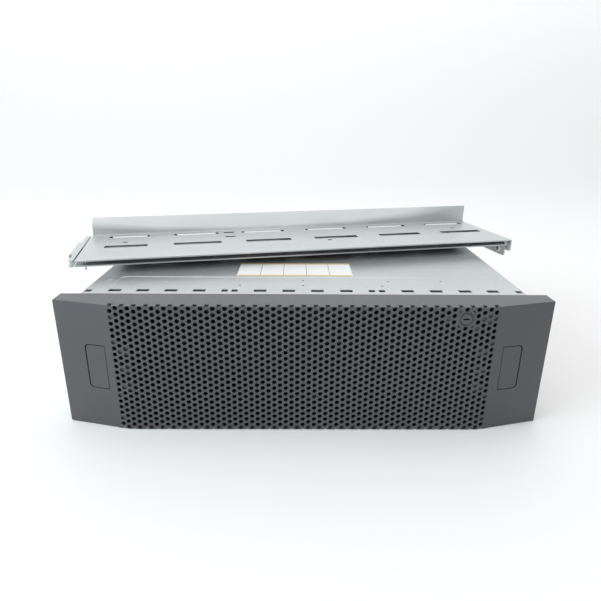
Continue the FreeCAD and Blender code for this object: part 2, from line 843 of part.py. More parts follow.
def rail_flap(start, end, hinge, free):
    # the metal of a slot, bent down about one long edge until its free edge lies flat on what is below
    low = -rail_flap_drop
    step = math.copysign(rail_flap_land, hinge - free)
    profile = [(hinge, rail_sheet), (hinge, 0.0), (free + step, low), (free, low), (free, low + rail_sheet),
               (free + step, low + rail_sheet)]
    return prism([V(start, v, z) for v, z in profile], V(end - start, 0, 0))


def rail_body(level):
    left = rail_left
    right = rail_left + rail_length
    parts = [block(left, right, 0, rail_web, 0, rail_sheet),
             block(left + rail_ledge_start, right - rail_ledge_stop, rail_web - rail_sheet, rail_web, 0,
                   rail_ledge),
             block(right - rail_sheet, right, rail_end_margin, rail_web - rail_end_margin,
                   rail_sheet - rail_end_drop, rail_sheet)]
    cuts = []
    flaps = []
    # the flaps of the two rows are bent towards each other, with the sliding tongue between them
    half = rail_slot_width / 2
    for row, inward in zip(rail_slot_rows, (1, -1)):
        hinge = row - inward * half
        free = row + inward * (half - rail_flap_gap)
        for number in range(rail_slot_count):
            start = rail_slot_first - rail_slot_length / 2 + number * rail_slot_pitch
            end = start + rail_slot_length
            if number == 0:
                start += rail_slot_first_cut
            cuts.append(block(start, end, row - half, row + half, -past, rail_sheet + past))
            flaps.append(rail_flap(start + rail_flap_gap, end - rail_flap_gap, hinge, free))
    stud = V(left + rail_stud_inset, rail_stud_v, -rail_flap_drop)
    parts.append(peg(rail_stud_radius, stud, stud + V(0, 0, rail_flap_drop + rail_sheet / 2)))
    side = tongue_width / 2 + seat_gap
    drop = 2 * seat_gap + rail_sheet
    for u in keeper_places:
        near = tongue_v - side - keeper_wall
        far = tongue_v + side + keeper_wall
        parts.append(block(u, u + keeper_length, near, far, -drop - keeper_wall, -drop))
        for wall in (near, far - keeper_wall):
            parts.append(block(u, u + keeper_length, wall, wall + keeper_wall, -drop - keeper_wall,
                               rail_sheet / 2))
    for v in (rail_end_hole_inset, rail_web - rail_end_hole_inset):
        start = V(right - rail_sheet - past, v, rail_sheet - rail_end_drop / 2)
        cuts.append(rod(rail_end_hole_radius, start, start + V(rail_sheet + 2 * past, 0, 0)))
    return rail_placed(joined([joined(parts).cut(cuts)] + flaps), level)


def rail_adjuster(level):
    # a sliding end piece: a tongue under the web and a cross strip level with it; the upper one of the pair
    # also has an open channel along its strip
    top = -seat_gap
    bottom = top - rail_sheet
    edge = rail_left - adjuster_gap
    strip = edge - adjuster_strip
    outer = strip - adjuster_channel
    near = adjuster_channel_start
    far = near + adjuster_channel_length
    low = -rail_flap_drop + seat_gap
    cross = block(strip, edge, rail_end_margin, rail_web - rail_end_margin, bottom, rail_sheet)
    corners = [pick for pick in cross.Edges
               if abs(pick.Vertexes[0].Z - pick.Vertexes[1].Z) > rail_sheet
               and abs(pick.CenterOfMass.y - rail_end_margin) < pin_clear]
    cross = cross.makeFillet(adjuster_corner, corners)
    parts = [block(strip, rail_left + tongue_length, tongue_v - tongue_width / 2,
                   tongue_v + tongue_width / 2, bottom, top),
             cross]
    if level == 0:
        return rail_placed(joined(parts), level)
    hollow = block(outer + adjuster_channel_wall, strip - adjuster_channel_wall, near - past, far + past,
                   low + adjuster_channel_wall, top - adjuster_channel_wall)
    channel = block(outer, strip, near, far, low, top).cut(hollow)
    return rail_placed(joined(parts + [channel]), level)


save("chassis_tray", chassis_tray())
save("top_cover", top_cover())
save("upper_guides", upper_guides())
save("lower_guides", guide_rack(sheet, sheet + guide_plate))
save("midplane_board", midplane_board())
save("midplane_plugs", *midplane_plugs())
save("module_shelves", *module_shelves())
save("left_ear", rack_ear(-1))
save("right_ear", rack_ear(1))
save("bezel_shell", bezel_shell())
save("left_latch", latch(-1))
save("right_latch", latch(1))
save("latch_pins", latch_pin(-1), latch_pin(1))
save("lock_barrel", lock_barrel())
save("lock_plug", lock_plug())
save("lock_cam", lock_cam())
for number, bay_x in enumerate(bay_centres, 1):
    save("drive_carrier_%02d" % number, carrier(bay_x), disk(bay_x))
    save("drive_lever_%02d" % number, drive_lever(bay_x))
for name, bottom, height in module_rows():
    kind, letter = name.split("_")
    if kind == "power":
        save("power_case_" + letter, power_case(bottom))
        save("blower_rotor_" + letter, blower_rotor(bottom))
        save("power_bail_" + letter, power_bail(bottom))
    else:
        save("link_card_" + letter, card_tray(bottom))
        save("card_ejector_" + letter, card_ejector(bottom))
for level, name in enumerate(("lower_rail", "upper_rail")):
    save(name, rail_body(level))
    save(name + "_adjuster", rail_adjuster(level))
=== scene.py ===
import json
import math

import bmesh
import bpy
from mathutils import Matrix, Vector
from mathutils.geometry import delaunay_2d_cdt


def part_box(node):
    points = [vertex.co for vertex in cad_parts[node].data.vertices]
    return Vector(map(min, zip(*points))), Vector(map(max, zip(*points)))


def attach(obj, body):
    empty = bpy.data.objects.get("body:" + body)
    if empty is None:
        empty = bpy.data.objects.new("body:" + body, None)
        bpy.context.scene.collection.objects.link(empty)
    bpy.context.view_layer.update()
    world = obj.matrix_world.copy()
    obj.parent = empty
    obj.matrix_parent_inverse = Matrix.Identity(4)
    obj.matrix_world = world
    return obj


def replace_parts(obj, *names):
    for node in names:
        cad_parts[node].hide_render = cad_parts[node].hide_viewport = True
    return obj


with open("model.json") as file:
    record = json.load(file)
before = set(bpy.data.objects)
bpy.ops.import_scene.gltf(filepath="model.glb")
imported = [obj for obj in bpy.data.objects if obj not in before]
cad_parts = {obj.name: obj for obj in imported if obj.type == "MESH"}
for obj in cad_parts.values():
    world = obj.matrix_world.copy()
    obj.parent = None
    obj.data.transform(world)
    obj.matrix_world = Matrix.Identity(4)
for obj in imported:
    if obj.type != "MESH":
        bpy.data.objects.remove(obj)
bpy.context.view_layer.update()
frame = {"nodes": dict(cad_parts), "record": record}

mm = 0.001  # meshes are drawn in millimetres and scaled once
scene = bpy.context.scene


# Camera at the photograph's place
cameraSetup = {
    "lens": 30.65,
    "sensor": 36.0,
    "place": (-8.56, -657.4, 300.49),
    "yaw": 0.545,
    "pitch": 19.952,
    "roll": 0.405,
    "clipStart": 0.01,
}


def setCamera(values):
    yaw, pitch, roll = (math.radians(values[key]) for key in ("yaw", "pitch", "roll"))
    forward = Vector((math.sin(yaw) * math.cos(pitch), math.cos(yaw) * math.cos(pitch), -math.sin(pitch)))
    right = Vector((math.cos(yaw), -math.sin(yaw), 0))
    up = right.cross(forward)
    tiltedRight = right * math.cos(roll) + up * math.sin(roll)
    tiltedUp = up * math.cos(roll) - right * math.sin(roll)
    lens = bpy.data.cameras.new("photoCamera")
    lens.lens = values["lens"]
    lens.sensor_width = values["sensor"]
    lens.sensor_fit = "HORIZONTAL"
    lens.clip_start = values["clipStart"]
    camera = bpy.data.objects.new("photoCamera", lens)
    scene.collection.objects.link(camera)
    world = camera.matrix_world
    for column, direction in enumerate((tiltedRight, tiltedUp, -forward)):
        for row in range(3):
            world[row][column] = direction[row]
    world.translation = Vector(values["place"]) * mm
    camera.matrix_world = world
    scene.camera = camera


setCamera(cameraSetup)
print("camera set")


# Studio: a pale sweep under an even light
studio = {
    "floorColour": (0.92, 0.922, 0.925),
    "floorRoughness": 0.55,
    "halfWidth": 6.0,
    "front": -4.0,
    "wallStart": 1.6,
    "wallRadius": 1.2,
    "wallHeight": 4.0,
    "wallSteps": 12,
    "skyLeft": 0.88,
    "skyRight": 0.38,
    "paperGlow": (0.065, 0.42),    # at the floor and halfway up the wall
    "topPower": 11.5,
    "topSize": (2.6, 1.8),
    "topPlace": (0.1, -0.1, 1.9),
    "frontPower": 44.0,
    "frontSize": (2.2, 1.4),
    "frontPlace": (-2.4, -1.0, 1.2),
    "frontColour": (0.80, 0.92, 1.0),
    "topColour": (1.0, 0.98, 0.94),
    "aim": (0.0, 0.0, 0.08),
}


def addNode(finish, kind, values=None):
    node = finish.node_tree.nodes.new(kind)
    for key, value in (values or {}).items():
        if key in node.inputs:
            node.inputs[key].default_value = value
        else:
            setattr(node, key, value)
    return node


def wire(finish, source, outlet, target, inlet):
    finish.node_tree.links.new(source.outputs[outlet], target.inputs[inlet])


def spread(finish, source, outlet, fromLow, fromHigh, toLow, toHigh):
    ranged = addNode(finish, "ShaderNodeMapRange", {
        "From Min": fromLow, "From Max": fromHigh, "To Min": toLow, "To Max": toHigh})
    wire(finish, source, outlet, ranged, "Value")
    return ranged


def buildStudio(values):
    profile = [(values["front"], 0.0), (values["wallStart"], 0.0)]
    radius = values["wallRadius"]
    steps = values["wallSteps"]
    for step in range(1, steps + 1):
        turn = math.pi / 2 * step / steps
        profile.append((values["wallStart"] + radius * math.sin(turn), radius * (1 - math.cos(turn))))
    profile.append((values["wallStart"] + radius, values["wallHeight"]))
    bm = bmesh.new()
    rows = [[bm.verts.new((side * values["halfWidth"], y, z)) for side in (-1, 1)] for y, z in profile]
    for first, second in zip(rows, rows[1:]):
        bm.faces.new((first[0], first[1], second[1], second[0])).smooth = True
    mesh = bpy.data.meshes.new("studioSweep")
    bm.to_mesh(mesh)
    bm.free()
    sweep = bpy.data.objects.new("studioSweep", mesh)
    scene.collection.objects.link(sweep)
    paper = bpy.data.materials.new("studioPaper")
    paper.use_nodes = True
    shader = paper.node_tree.nodes["Principled BSDF"]
    shader.inputs["Base Color"].default_value = (*values["floorColour"], 1)
    shader.inputs["Roughness"].default_value = values["floorRoughness"]
    shader.inputs["Emission Color"].default_value = (1, 1, 1, 1)
    heights = addNode(paper, "ShaderNodeTexCoord")
    axes = addNode(paper, "ShaderNodeSeparateXYZ")
    wire(paper, heights, "Object", axes, "Vector")
    rising = spread(paper, axes, "Z", 0.0, values["wallHeight"] / 2, *values["paperGlow"])
    wire(paper, rising, "Result", shader, "Emission Strength")
    mesh.materials.append(paper)

    sky = bpy.data.worlds.new("studioSky")
    sky.use_nodes = True
    glow = sky.node_tree.nodes["Background"]
    coords = addNode(sky, "ShaderNodeTexCoord")
    axes = addNode(sky, "ShaderNodeSeparateXYZ")
    wire(sky, coords, "Generated", axes, "Vector")
    fading = spread(sky, axes, "X", -1, 1, values["skyLeft"], values["skyRight"])
    wire(sky, fading, "Result", glow, "Strength")
    glow.inputs["Color"].default_value = (1, 1, 1, 1)
    scene.world = sky
    for name in ("top", "front"):
        lamp = bpy.data.lights.new(name + "Light", "AREA")
        lamp.shape = "RECTANGLE"
        lamp.size, lamp.size_y = values[name + "Size"]
        lamp.energy = values[name + "Power"]
        lamp.color = values[name + "Colour"]
        light = bpy.data.objects.new(name + "Light", lamp)
        light.location = values[name + "Place"]
        aim = Vector(values["aim"]) - light.location
        light.rotation_euler = aim.to_track_quat("-Z", "Y").to_euler()
        scene.collection.objects.link(light)
    scene.view_settings.view_transform = "Standard"


buildStudio(studio)
print("studio lit")


# Finishes
def startFinish(name, colour, roughness, metal=0.0):
    finish = bpy.data.materials.new(name)
    finish.use_nodes = True
    shader = finish.node_tree.nodes["Principled BSDF"]
    shader.inputs["Base Color"].default_value = (*colour, 1)
    shader.inputs["Roughness"].default_value = roughness
    shader.inputs["Metallic"].default_value = metal
    return finish, shader


def noiseOver(finish, scale, detail=3.0, stretch=(1, 1, 1)):
    coords = addNode(finish, "ShaderNodeTexCoord")
    mapping = addNode(finish, "ShaderNodeMapping", {"Scale": stretch})
    noise = addNode(finish, "ShaderNodeTexNoise", {"Scale": scale, "Detail": detail})
    wire(finish, coords, "Object", mapping, "Vector")
    wire(finish, mapping, "Vector", noise, "Vector")
    return noise


def tintBy(finish, factorNode, factorOutlet, low, high):
    ramp = addNode(finish, "ShaderNodeValToRGB")
    ramp.color_ramp.elements[0].color = (*low, 1)
    ramp.color_ramp.elements[1].color = (*high, 1)
    wire(finish, factorNode, factorOutlet, ramp, "Fac")
    return ramp


def bumpBy(finish, shader, source, outlet, strength, distance):
    bump = addNode(finish, "ShaderNodeBump", {"Strength": strength, "Distance": distance})
    wire(finish, source, outlet, bump, "Height")
    wire(finish, bump, "Normal", shader, "Normal")


# Zinc-coated sheet: noise is given as scale, detail and stretch
zincLook = {
    "stains": (14.0, 4.0, (0.35, 1, 1)),     # soft stains along the rolling grain
    "stainRange": (0.3, 0.7),
    "stainShare": 0.75,
    "spangleShare": 0.25,
    # the painted sheen: where its patch fades out and how little metal it keeps
    "paintedSheenRange": (0.05, 0.28),
    "paintedSheenMetal": 0.1,
    "gloss": (-0.02, 0.03),
    "grain": (260.0, 2.0, (0.25, 1, 1)),
    "grainStrength": 0.025,
    "grainDepth": 0.0004,
}


def zincFinish(name, dark, light, roughness, spangle, metal=0.75, paintedSheen=None):
    # faint crystal spangle, stains and perhaps one painted sheen, a lighter and less metallic patch that
    # paints a highlight, given as its centre, reach and colour
    values = zincLook
    finish, shader = startFinish(name, light, roughness, metal)
    coords = addNode(finish, "ShaderNodeTexCoord")
    crystals = addNode(finish, "ShaderNodeTexVoronoi", {"Scale": 1 / (spangle * mm), "Randomness": 1.0})
    wire(finish, coords, "Object", crystals, "Vector")
    facet = addNode(finish, "ShaderNodeSeparateColor")
    wire(finish, crystals, "Color", facet, "Color")
    stains = noiseOver(finish, *values["stains"])
    blend = addNode(finish, "ShaderNodeMath", {"operation": "MULTIPLY_ADD"})
    wire(finish, facet, "Red", blend, 0)
    blend.inputs[1].default_value = values["spangleShare"]
    stained = spread(finish, stains, "Fac", *values["stainRange"], 0.0, values["stainShare"])
    wire(finish, stained, "Result", blend, 2)
    tint = tintBy(finish, blend, "Value", dark, light)
    # painted highlight: a spherical patch, lighter and less metallic than the sheet, stands in for a sheen
    if paintedSheen:
        centre, reach, paintedBright = paintedSheen
        mapping = addNode(finish, "ShaderNodeMapping", {
            "Location": [-c / r for c, r in zip(centre, reach)], "Scale": [1 / (r * mm) for r in reach]})
        wire(finish, coords, "Object", mapping, "Vector")
        sheenPatch = addNode(finish, "ShaderNodeTexGradient", {"gradient_type": "SPHERICAL"})
        wire(finish, mapping, "Vector", sheenPatch, "Vector")
        mix = addNode(finish, "ShaderNodeMix", {"data_type": "RGBA"})
        wire(finish, spread(finish, sheenPatch, "Fac", *values["paintedSheenRange"], 0, 1), "Result", mix, 0)
        sheenMetallic = spread(finish, sheenPatch, "Fac", *values["paintedSheenRange"], metal, values["paintedSheenMetal"])
        wire(finish, sheenMetallic, "Result", shader, "Metallic")
        wire(finish, tint, "Color", mix, 6)
        mix.inputs[7].default_value = (*paintedBright, 1)
        wire(finish, mix, 2, shader, "Base Color")
    else:
        wire(finish, tint, "Color", shader, "Base Color")
    gloss = [roughness + change for change in values["gloss"]]
    wire(finish, spread(finish, facet, "Green", 0, 1, *gloss), "Result", shader, "Roughness")
    grain = noiseOver(finish, *values["grain"])
    bumpBy(finish, shader, grain, "Fac", values["grainStrength"], values["grainDepth"])
    return finish


mouldedLook = {
    "drift": (9.0, 4.0),
    "sheen": (120.0, 3.0),
    "range": (0.3, 0.7),
    "grainDetail": 2.0,
    "grainDepth": 0.0003,
}


def mouldedFinish(name, low, high, roughness, grain=1400.0, strength=0.12, gloss=0.05):
    # moulded plastic: fine spark texture, slow colour drift and uneven gloss
    values = mouldedLook
    finish, shader = startFinish(name, high, roughness)
    drift = spread(finish, noiseOver(finish, *values["drift"]), "Fac", *values["range"], 0, 1)
    wire(finish, tintBy(finish, drift, "Result", low, high), "Color", shader, "Base Color")
    sheen = noiseOver(finish, *values["sheen"])
    uneven = spread(finish, sheen, "Fac", *values["range"], roughness - gloss, roughness + gloss)
    wire(finish, uneven, "Result", shader, "Roughness")
    spark = noiseOver(finish, grain, values["grainDetail"])
    bumpBy(finish, shader, spark, "Fac", strength, values["grainDepth"])
    return finish


machinedLook = {
    "metal": 0.95,
    "lines": (900.0, 2.0, (1, 0.05, 1)),
    "dull": (60.0, 3.0),
    "range": (0.3, 0.7),
    "gloss": (-0.06, 0.1),
    "lineStrength": 0.08,
    "lineDepth": 0.0002,
}


def machinedFinish(name, low, high, roughness):
    # turned or drawn steel: fine lines and a few dull patches
    values = machinedLook
    finish, shader = startFinish(name, high, roughness, values["metal"])
    lines = noiseOver(finish, *values["lines"])
    wire(finish, tintBy(finish, lines, "Fac", low, high), "Color", shader, "Base Color")
    dull = noiseOver(finish, *values["dull"])
    gloss = [roughness + change for change in values["gloss"]]
    wire(finish, spread(finish, dull, "Fac", *values["range"], *gloss), "Result", shader, "Roughness")
    bumpBy(finish, shader, lines, "Fac", values["lineStrength"], values["lineDepth"])
    return finish


finishes = {
    "galvanised_steel": zincFinish("zincChassis", (0.54, 0.57, 0.575), (0.61, 0.64, 0.645), 0.33, 5.0, 0.75),
    # the rails' zinc carries a painted sheen, a near-white patch across the middle of the upper rail's ledge
    "rail_steel": zincFinish("zincRail", (0.55, 0.58, 0.58), (0.62, 0.65, 0.65), 0.38, 3.5, 0.5,
                             ((-53.0, 70.0, 172.0), (307.0, 300.0, 26.0), (0.98, 1.0, 1.0))),
    "module_steel": zincFinish("zincModule", (0.46, 0.48, 0.49), (0.62, 0.64, 0.65), 0.34, 4.0),
    "carrier_metal": zincFinish("carrierAlloy", (0.50, 0.51, 0.52), (0.62, 0.63, 0.64), 0.42, 1.6, 0.85),
    "lever_plastic": mouldedFinish("leverPlastic", (0.030, 0.031, 0.034), (0.042, 0.043, 0.047), 0.48),
    "bezel_plastic": mouldedFinish("bezelPlastic", (0.066, 0.067, 0.072), (0.076, 0.077, 0.083), 0.30,
                                   1400.0, 0.04, 0.012),
    "pin_steel": machinedFinish("pinSteel", (0.50, 0.50, 0.50), (0.66, 0.66, 0.65), 0.28),
    "lock_black": machinedFinish("lockBlack", (0.095, 0.104, 0.110), (0.125, 0.134, 0.140), 0.36),
    "board_green": mouldedFinish("boardGreen", (0.010, 0.085, 0.040), (0.016, 0.125, 0.058), 0.35, 700.0),
    "plug_black": mouldedFinish("plugBlack", (0.016, 0.016, 0.017), (0.026, 0.026, 0.028), 0.4),
    "guide_plastic": mouldedFinish("guidePlastic", (0.016, 0.016, 0.017), (0.024, 0.024, 0.026), 0.5),
    "blower_plastic": mouldedFinish("blowerPlastic", (0.020, 0.020, 0.021), (0.030, 0.030, 0.032), 0.42),
    "handle_plastic": mouldedFinish("handlePlastic", (0.040, 0.060, 0.085), (0.056, 0.080, 0.11), 0.42),
}
labelPaper = mouldedFinish("labelPaper", (0.84, 0.84, 0.83), (0.90, 0.90, 0.89), 0.5, 500.0, 0.03)
labelEdge = mouldedFinish("labelEdge", (0.62, 0.46, 0.24), (0.72, 0.55, 0.30), 0.5, 500.0, 0.03)
# painted highlight: a near-white, barely metallic copy of the rail's zinc, for the rear flaps and the nuts
paintedLitZinc = zincFinish("paintedLitZinc", (0.93, 0.95, 0.95), (0.98, 0.99, 0.99), 0.5, 3.5, 0.05)
# painted shade: dark steel lining the rails' slots and filling the nuts' bores
paintedShadeEdge = machinedFinish("paintedShadeEdge", (0.10, 0.11, 0.11), (0.16, 0.17, 0.17), 0.45)
lensGreen = mouldedFinish("lensGreen", (0.05, 0.22, 0.07), (0.07, 0.30, 0.10), 0.15, 300.0, 0.02)
lensAmber = mouldedFinish("lensAmber", (0.34, 0.17, 0.03), (0.42, 0.22, 0.05), 0.15, 300.0, 0.02)
print("finishes ready:", len(bpy.data.materials))


def dressNodes():
    # every frame node takes the finish of its own record slot
    for part in frame["record"]["subparts"]:
        mesh = frame["nodes"][part["node"]].data
        mesh.materials.clear()
        mesh.materials.append(finishes[part["material_slot"]])


dressNodes()


def soften(piece, width, angle=40.0, segments=2):
    edges = piece.modifiers.new("softEdges", "BEVEL")
    edges.width = width * mm
    edges.segments = segments
    edges.limit_method = "ANGLE"
    edges.angle_limit = math.radians(angle)
    edges.harden_normals = True


# Drawing helpers, all in millimetres
def boxOf(node):
    low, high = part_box(node)
    return low / mm, high / mm


def makeMesh(name, bm, finish):
    bmesh.ops.recalc_face_normals(bm, faces=bm.faces)
    bmesh.ops.scale(bm, vec=(mm, mm, mm), verts=bm.verts)
    mesh = bpy.data.meshes.new(name)
    bm.to_mesh(mesh)
    bm.free()
    mesh.materials.append(finish)
    return mesh


def finishPiece(name, bm, body, slot, finish=None):
    return placePiece(name, makeMesh(name, bm, finish or finishes[slot]), body)


def placePiece(name, mesh, body, shift=(0, 0, 0)):
    piece = bpy.data.objects.new(name, mesh)
    piece.location = Vector(shift) * mm
    scene.collection.objects.link(piece)
    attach(piece, body)
    return piece


def addBlock(bm, low, high):
    made = bmesh.ops.create_cube(bm, size=1.0)["verts"]
    for vert in made:
        vert.co = Vector([a + (c + 0.5) * (b - a) for a, b, c in zip(low, high, vert.co)])
    return made


def addTurned(bm, profile, start, direction, sides=24):
    # profile of (radius, distance) pairs turned about a line from start
    axis = Vector(direction).normalized()
    across = axis.orthogonal().normalized()
    up = axis.cross(across)
    rings = []
    for radius, along in profile:
        middle = Vector(start) + axis * along
        if radius < 0.001:  # a point on the line itself
            rings.append([bm.verts.new(middle)] * sides)
            continue
        turns = [2 * math.pi * k / sides for k in range(sides)]
        spokes = [across * math.cos(t) + up * math.sin(t) for t in turns]
        rings.append([bm.verts.new(middle + spoke * radius) for spoke in spokes])
    for first, second in zip(rings, rings[1:]):
        for k in range(sides):
            corners = []
            for vert in (first[k - 1], first[k], second[k], second[k - 1]):
                if vert not in corners:
                    corners.append(vert)
            if len(corners) > 2:
                bm.faces.new(corners).smooth = True


def roundRect(low, high, radii, steps=3):
    # a rounded rectangle, anticlockwise from its upper right corner; one radius, or one for each corner
    radii = radii if isinstance(radii, tuple) else (radii,) * 4
    points = []
    corners = ((high[0], high[1], 0), (low[0], high[1], 1), (low[0], low[1], 2), (high[0], low[1], 3))
    for (x, y, quarter), radius in zip(corners, radii):
        centreX = x - radius if quarter in (0, 3) else x + radius
        centreY = y - radius if quarter in (0, 1) else y + radius
        for step in range(steps + 1):
            turn = math.pi / 2 * (quarter + step / steps)
            points.append((centreX + radius * math.cos(turn), centreY + radius * math.sin(turn)))
    return points


def centredRect(x, y, size, radii, steps=3, grow=0.0):
    # a rounded rectangle about its middle, grown on every side, or shrunk where grow is below zero
    across, up = size[0] / 2, size[1] / 2
    return roundRect((x - across - grow, y - up - grow), (x + across + grow, y + up + grow), radii, steps)


def facing(y):
    # stands a plate that is drawn in x and z at a place in y
    return lambda x, z, depth: (x, y + depth, z)


def circle(x, y, radius, sides=16):
    turns = [2 * math.pi * k / sides for k in range(sides)]
    return [(x + radius * math.cos(t), y + radius * math.sin(t)) for t in turns]


def insideLoop(point, loop):
    # counts how often a line to the right of the point crosses the loop
    inside = False
    for (ax, ay), (bx, by) in zip(loop, loop[1:] + loop[:1]):
        if (ay > point[1]) != (by > point[1]) and point[0] < ax + (point[1] - ay) * (bx - ax) / (by - ay):
            inside = not inside
    return inside


def fillArea(bm, points, edges, keep, place):
    # flat triangles between the given edges, wherever keep(middle) is true; returns the points' vertices
    coords, _, faces, origins, _, _ = delaunay_2d_cdt([Vector(p) for p in points], edges, [], 0, 1e-5)
    verts = [bm.verts.new(place(c.x, c.y)) for c in coords]
    for face in faces:
        middle = sum((coords[k] for k in face), Vector((0, 0))) / len(face)
        if keep(middle):
            bm.faces.new([verts[k] for k in face])
    drawn = {old: vert for vert, olds in zip(verts, origins) for old in olds}
    return [drawn[k] for k in range(len(points))]


def loopEdges(loops):
    edges = []
    start = 0
    for loop in loops:
        edges += [(start + k, start + (k + 1) % len(loop)) for k in range(len(loop))]
        start += len(loop)
    return edges


def fillLoops(bm, loops, place):
    # one flat sheet with holes: the first loop is the outline, the others are the holes
    def keep(middle):
        return insideLoop(middle, loops[0]) and not any(insideLoop(middle, hole) for hole in loops[1:])

    drawn = fillArea(bm, [p for loop in loops for p in loop], loopEdges(loops), keep, place)
    rims = []
    for loop in loops:
        rims.append(drawn[:len(loop)])
        drawn = drawn[len(loop):]
    return rims


def addWalls(bm, first, second, smooth=False):
    # joins two like loops of vertices all round
    for k in range(len(first)):
        bm.faces.new((first[k - 1], first[k], second[k], second[k - 1])).smooth = smooth


def addPlate(bm, outline, holes, place, thickness):
    # a flat sheet with holes, thickened; place(a, b, depth) puts it in the frame
    front = fillLoops(bm, [outline] + holes, lambda a, b: place(a, b, 0.0))
    back = fillLoops(bm, [outline] + holes, lambda a, b: place(a, b, thickness))
    for first, second in zip(front, back):
        addWalls(bm, first, second)


def addRun(bm, profile, start, end, place):
    # a closed profile drawn straight from start to end; place(a, b, along) puts it in the frame
    first = [bm.verts.new(place(a, b, start)) for a, b in profile]
    last = [bm.verts.new(place(a, b, end)) for a, b in profile]
    for k in range(len(profile)):
        bm.faces.new((first[k - 1], first[k], last[k], last[k - 1]))
    bm.faces.new(first)
    bm.faces.new(last)


# Bezel: one moulding with a perforated field, swept wings and windows for the latch pads
bezelLook = {
    "columns": 65,
    "rows": 23,
    "firstColumn": -182.2,
    "columnStep": 5.657,
    "rowStep": 6.41,
    "firstHole": 133.98,       # the first column's top hole, cut by the top edge
    "holeRadius": 2.2,
    "rim": 0.25,
    "plate": 5.0,
    "wall": 3.0,
    "flatHalf": 176.25,
    "bend": 9.5,
    "wingSlope": 0.2521,
    "fieldEnd": 188.0,
    "padGap": 0.5,
    "padEdgeGap": 0.8,
    "padOuterGap": 1.2,
    "padCorners": (4.4, 1.2, 0.3, 4.4),
    "padFace": 0.05,            # points this near the face belong to the pad's outline
    "lockPatch": 11.4,
    "lockBoss": 9.4,
    "lockColumn": 1.0,          # a hole this near the lock's own column stays whole
    "lockClear": 0.1,
    "lockSides": 32,
    "barrelFace": 0.5,
    "sliverSides": 24,
    "sliverLeast": 4,
    "eye": 3.4,
    "eyeHeight": 4.0,
    "eyeSink": 1.2,
    "pinRadius": 1.2,
    "clipRows": (7.5, 10.5, 13.5),
    "clipSpan": (2.8, 14.6),    # clips and ribs are measured inwards from the end columns
    "clipHalf": 4.5,
    "clipDepth": 1.7,
    "ribRows": (2, 6, 15, 19),
    "ribSpan": (-2.6, 2.6),
    "ribHalf": 2.6,
    "lockPosts": ((-3, 0), (3, 0), (2, -1.5), (4, 0.5), (4, -0.5)),     # columns and rows from the lock
    "postHalf": 2.5,
    "floorDepth": 3.0,
    "edge": 0.7,
    "edgeSegments": 3,
    "latchEdge": 0.35,
    "weld": 0.01,
    "trim": 0.001,
}


def wingSweep(x):
    # how far the face falls back at a distance from the middle
    past = abs(x) - bezelLook["flatHalf"]
    bend = bezelLook["bend"]
    if past <= -bend:
        return 0.0
    if past < bend:
        return bezelLook["wingSlope"] * (past + bend) ** 2 / (4 * bend)
    return bezelLook["wingSlope"] * past


def cellOutline(x, z, values):
    # the hexagon round one hole, two points to an edge
    stepX = values["columnStep"]
    stepZ = values["rowStep"]
    slant = (stepX ** 2 + (stepZ / 2) ** 2) / 2
    point = slant / stepX
    shoulder = (slant - stepZ / 2 * stepZ / 2) / stepX
    corners = [(point, 0), (shoulder, stepZ / 2), (-shoulder, stepZ / 2), (-point, 0),
               (-shoulder, -stepZ / 2), (shoulder, -stepZ / 2)]
    outline = []
    for k in range(6):
        a, b = corners[k], corners[(k + 1) % 6]
        outline += [(x + a[0], z + a[1]), (x + (a[0] + b[0]) / 2, z + (a[1] + b[1]) / 2)]
    return outline


def addCell(bm, x, z, values):
    outline = cellOutline(x, z, values)
    turns = [2 * math.pi * k / len(outline) for k in range(len(outline))]

    def ring(radius, depth):
        return [bm.verts.new((x + radius * math.cos(t), depth, z + radius * math.sin(t))) for t in turns]

    rim = values["rim"]
    rings = [[bm.verts.new((a, 0.0, b)) for a, b in outline],
             ring(values["holeRadius"] + rim, 0.0),
             ring(values["holeRadius"], rim),
             ring(values["holeRadius"], values["plate"]),
             [bm.verts.new((a, values["plate"], b)) for a, b in outline]]
    for number, (first, second) in enumerate(zip(rings, rings[1:])):
        for k in range(len(outline)):
            face = bm.faces.new((first[k - 1], first[k], second[k], second[k - 1]))
            face.smooth = number == 2


def lockSlivers(cells, lockX, lockZ, values):
    # what the solid boss leaves of the holes next to it
    sides, boss = values["sliverSides"], values["lockBoss"]
    slivers = []
    for x, z in cells:
        rim = circle(x, z, values["holeRadius"], sides)
        whole = abs(x - lockX) < values["lockColumn"] and abs(z - lockZ) > boss
        clear = [whole or math.dist(point, (lockX, lockZ)) > boss for point in rim]
        if sum(clear) > values["sliverLeast"]:
            start = next((k for k in range(sides) if clear[k] and not clear[k - 1]), 0)
            slivers.append([rim[(start + k) % sides] for k in range(sum(clear))])
    return slivers


def addLockPatch(bm, cells, lockX, lockZ, radius, values):
    # solid plastic round the lock, with a round hole for its barrel
    counts = {}
    outlines = []
    for x, z in cells:
        outline = [(round(a, 3), round(b, 3)) for a, b in cellOutline(x, z, values)]
        outlines.append(outline)
        for k in range(len(outline)):
            key = frozenset((outline[k - 1], outline[k]))
            counts[key] = counts.get(key, 0) + 1
    outer = [tuple(key) for key, count in counts.items() if count == 1]
    corners = sorted({point for pair in outer for point in pair})
    loops = [circle(lockX, lockZ, radius, values["lockSides"])]
    loops += lockSlivers(cells, lockX, lockZ, values)
    points = [p for loop in loops for p in loop] + corners
    first = len(points) - len(corners)
    edges = loopEdges(loops) + [tuple(first + corners.index(p) for p in pair) for pair in outer]

    def keep(middle):
        solid = any(insideLoop(middle, outline) for outline in outlines)
        return solid and not any(insideLoop(middle, loop) for loop in loops)

    sheets = [fillArea(bm, points, edges, keep, lambda a, b: (a, depth, b))
              for depth in (0.0, values["plate"])]
    start = 0
    for loop in loops:
        addWalls(bm, *(sheet[start:start + len(loop)] for sheet in sheets), smooth=True)
        start += len(loop)


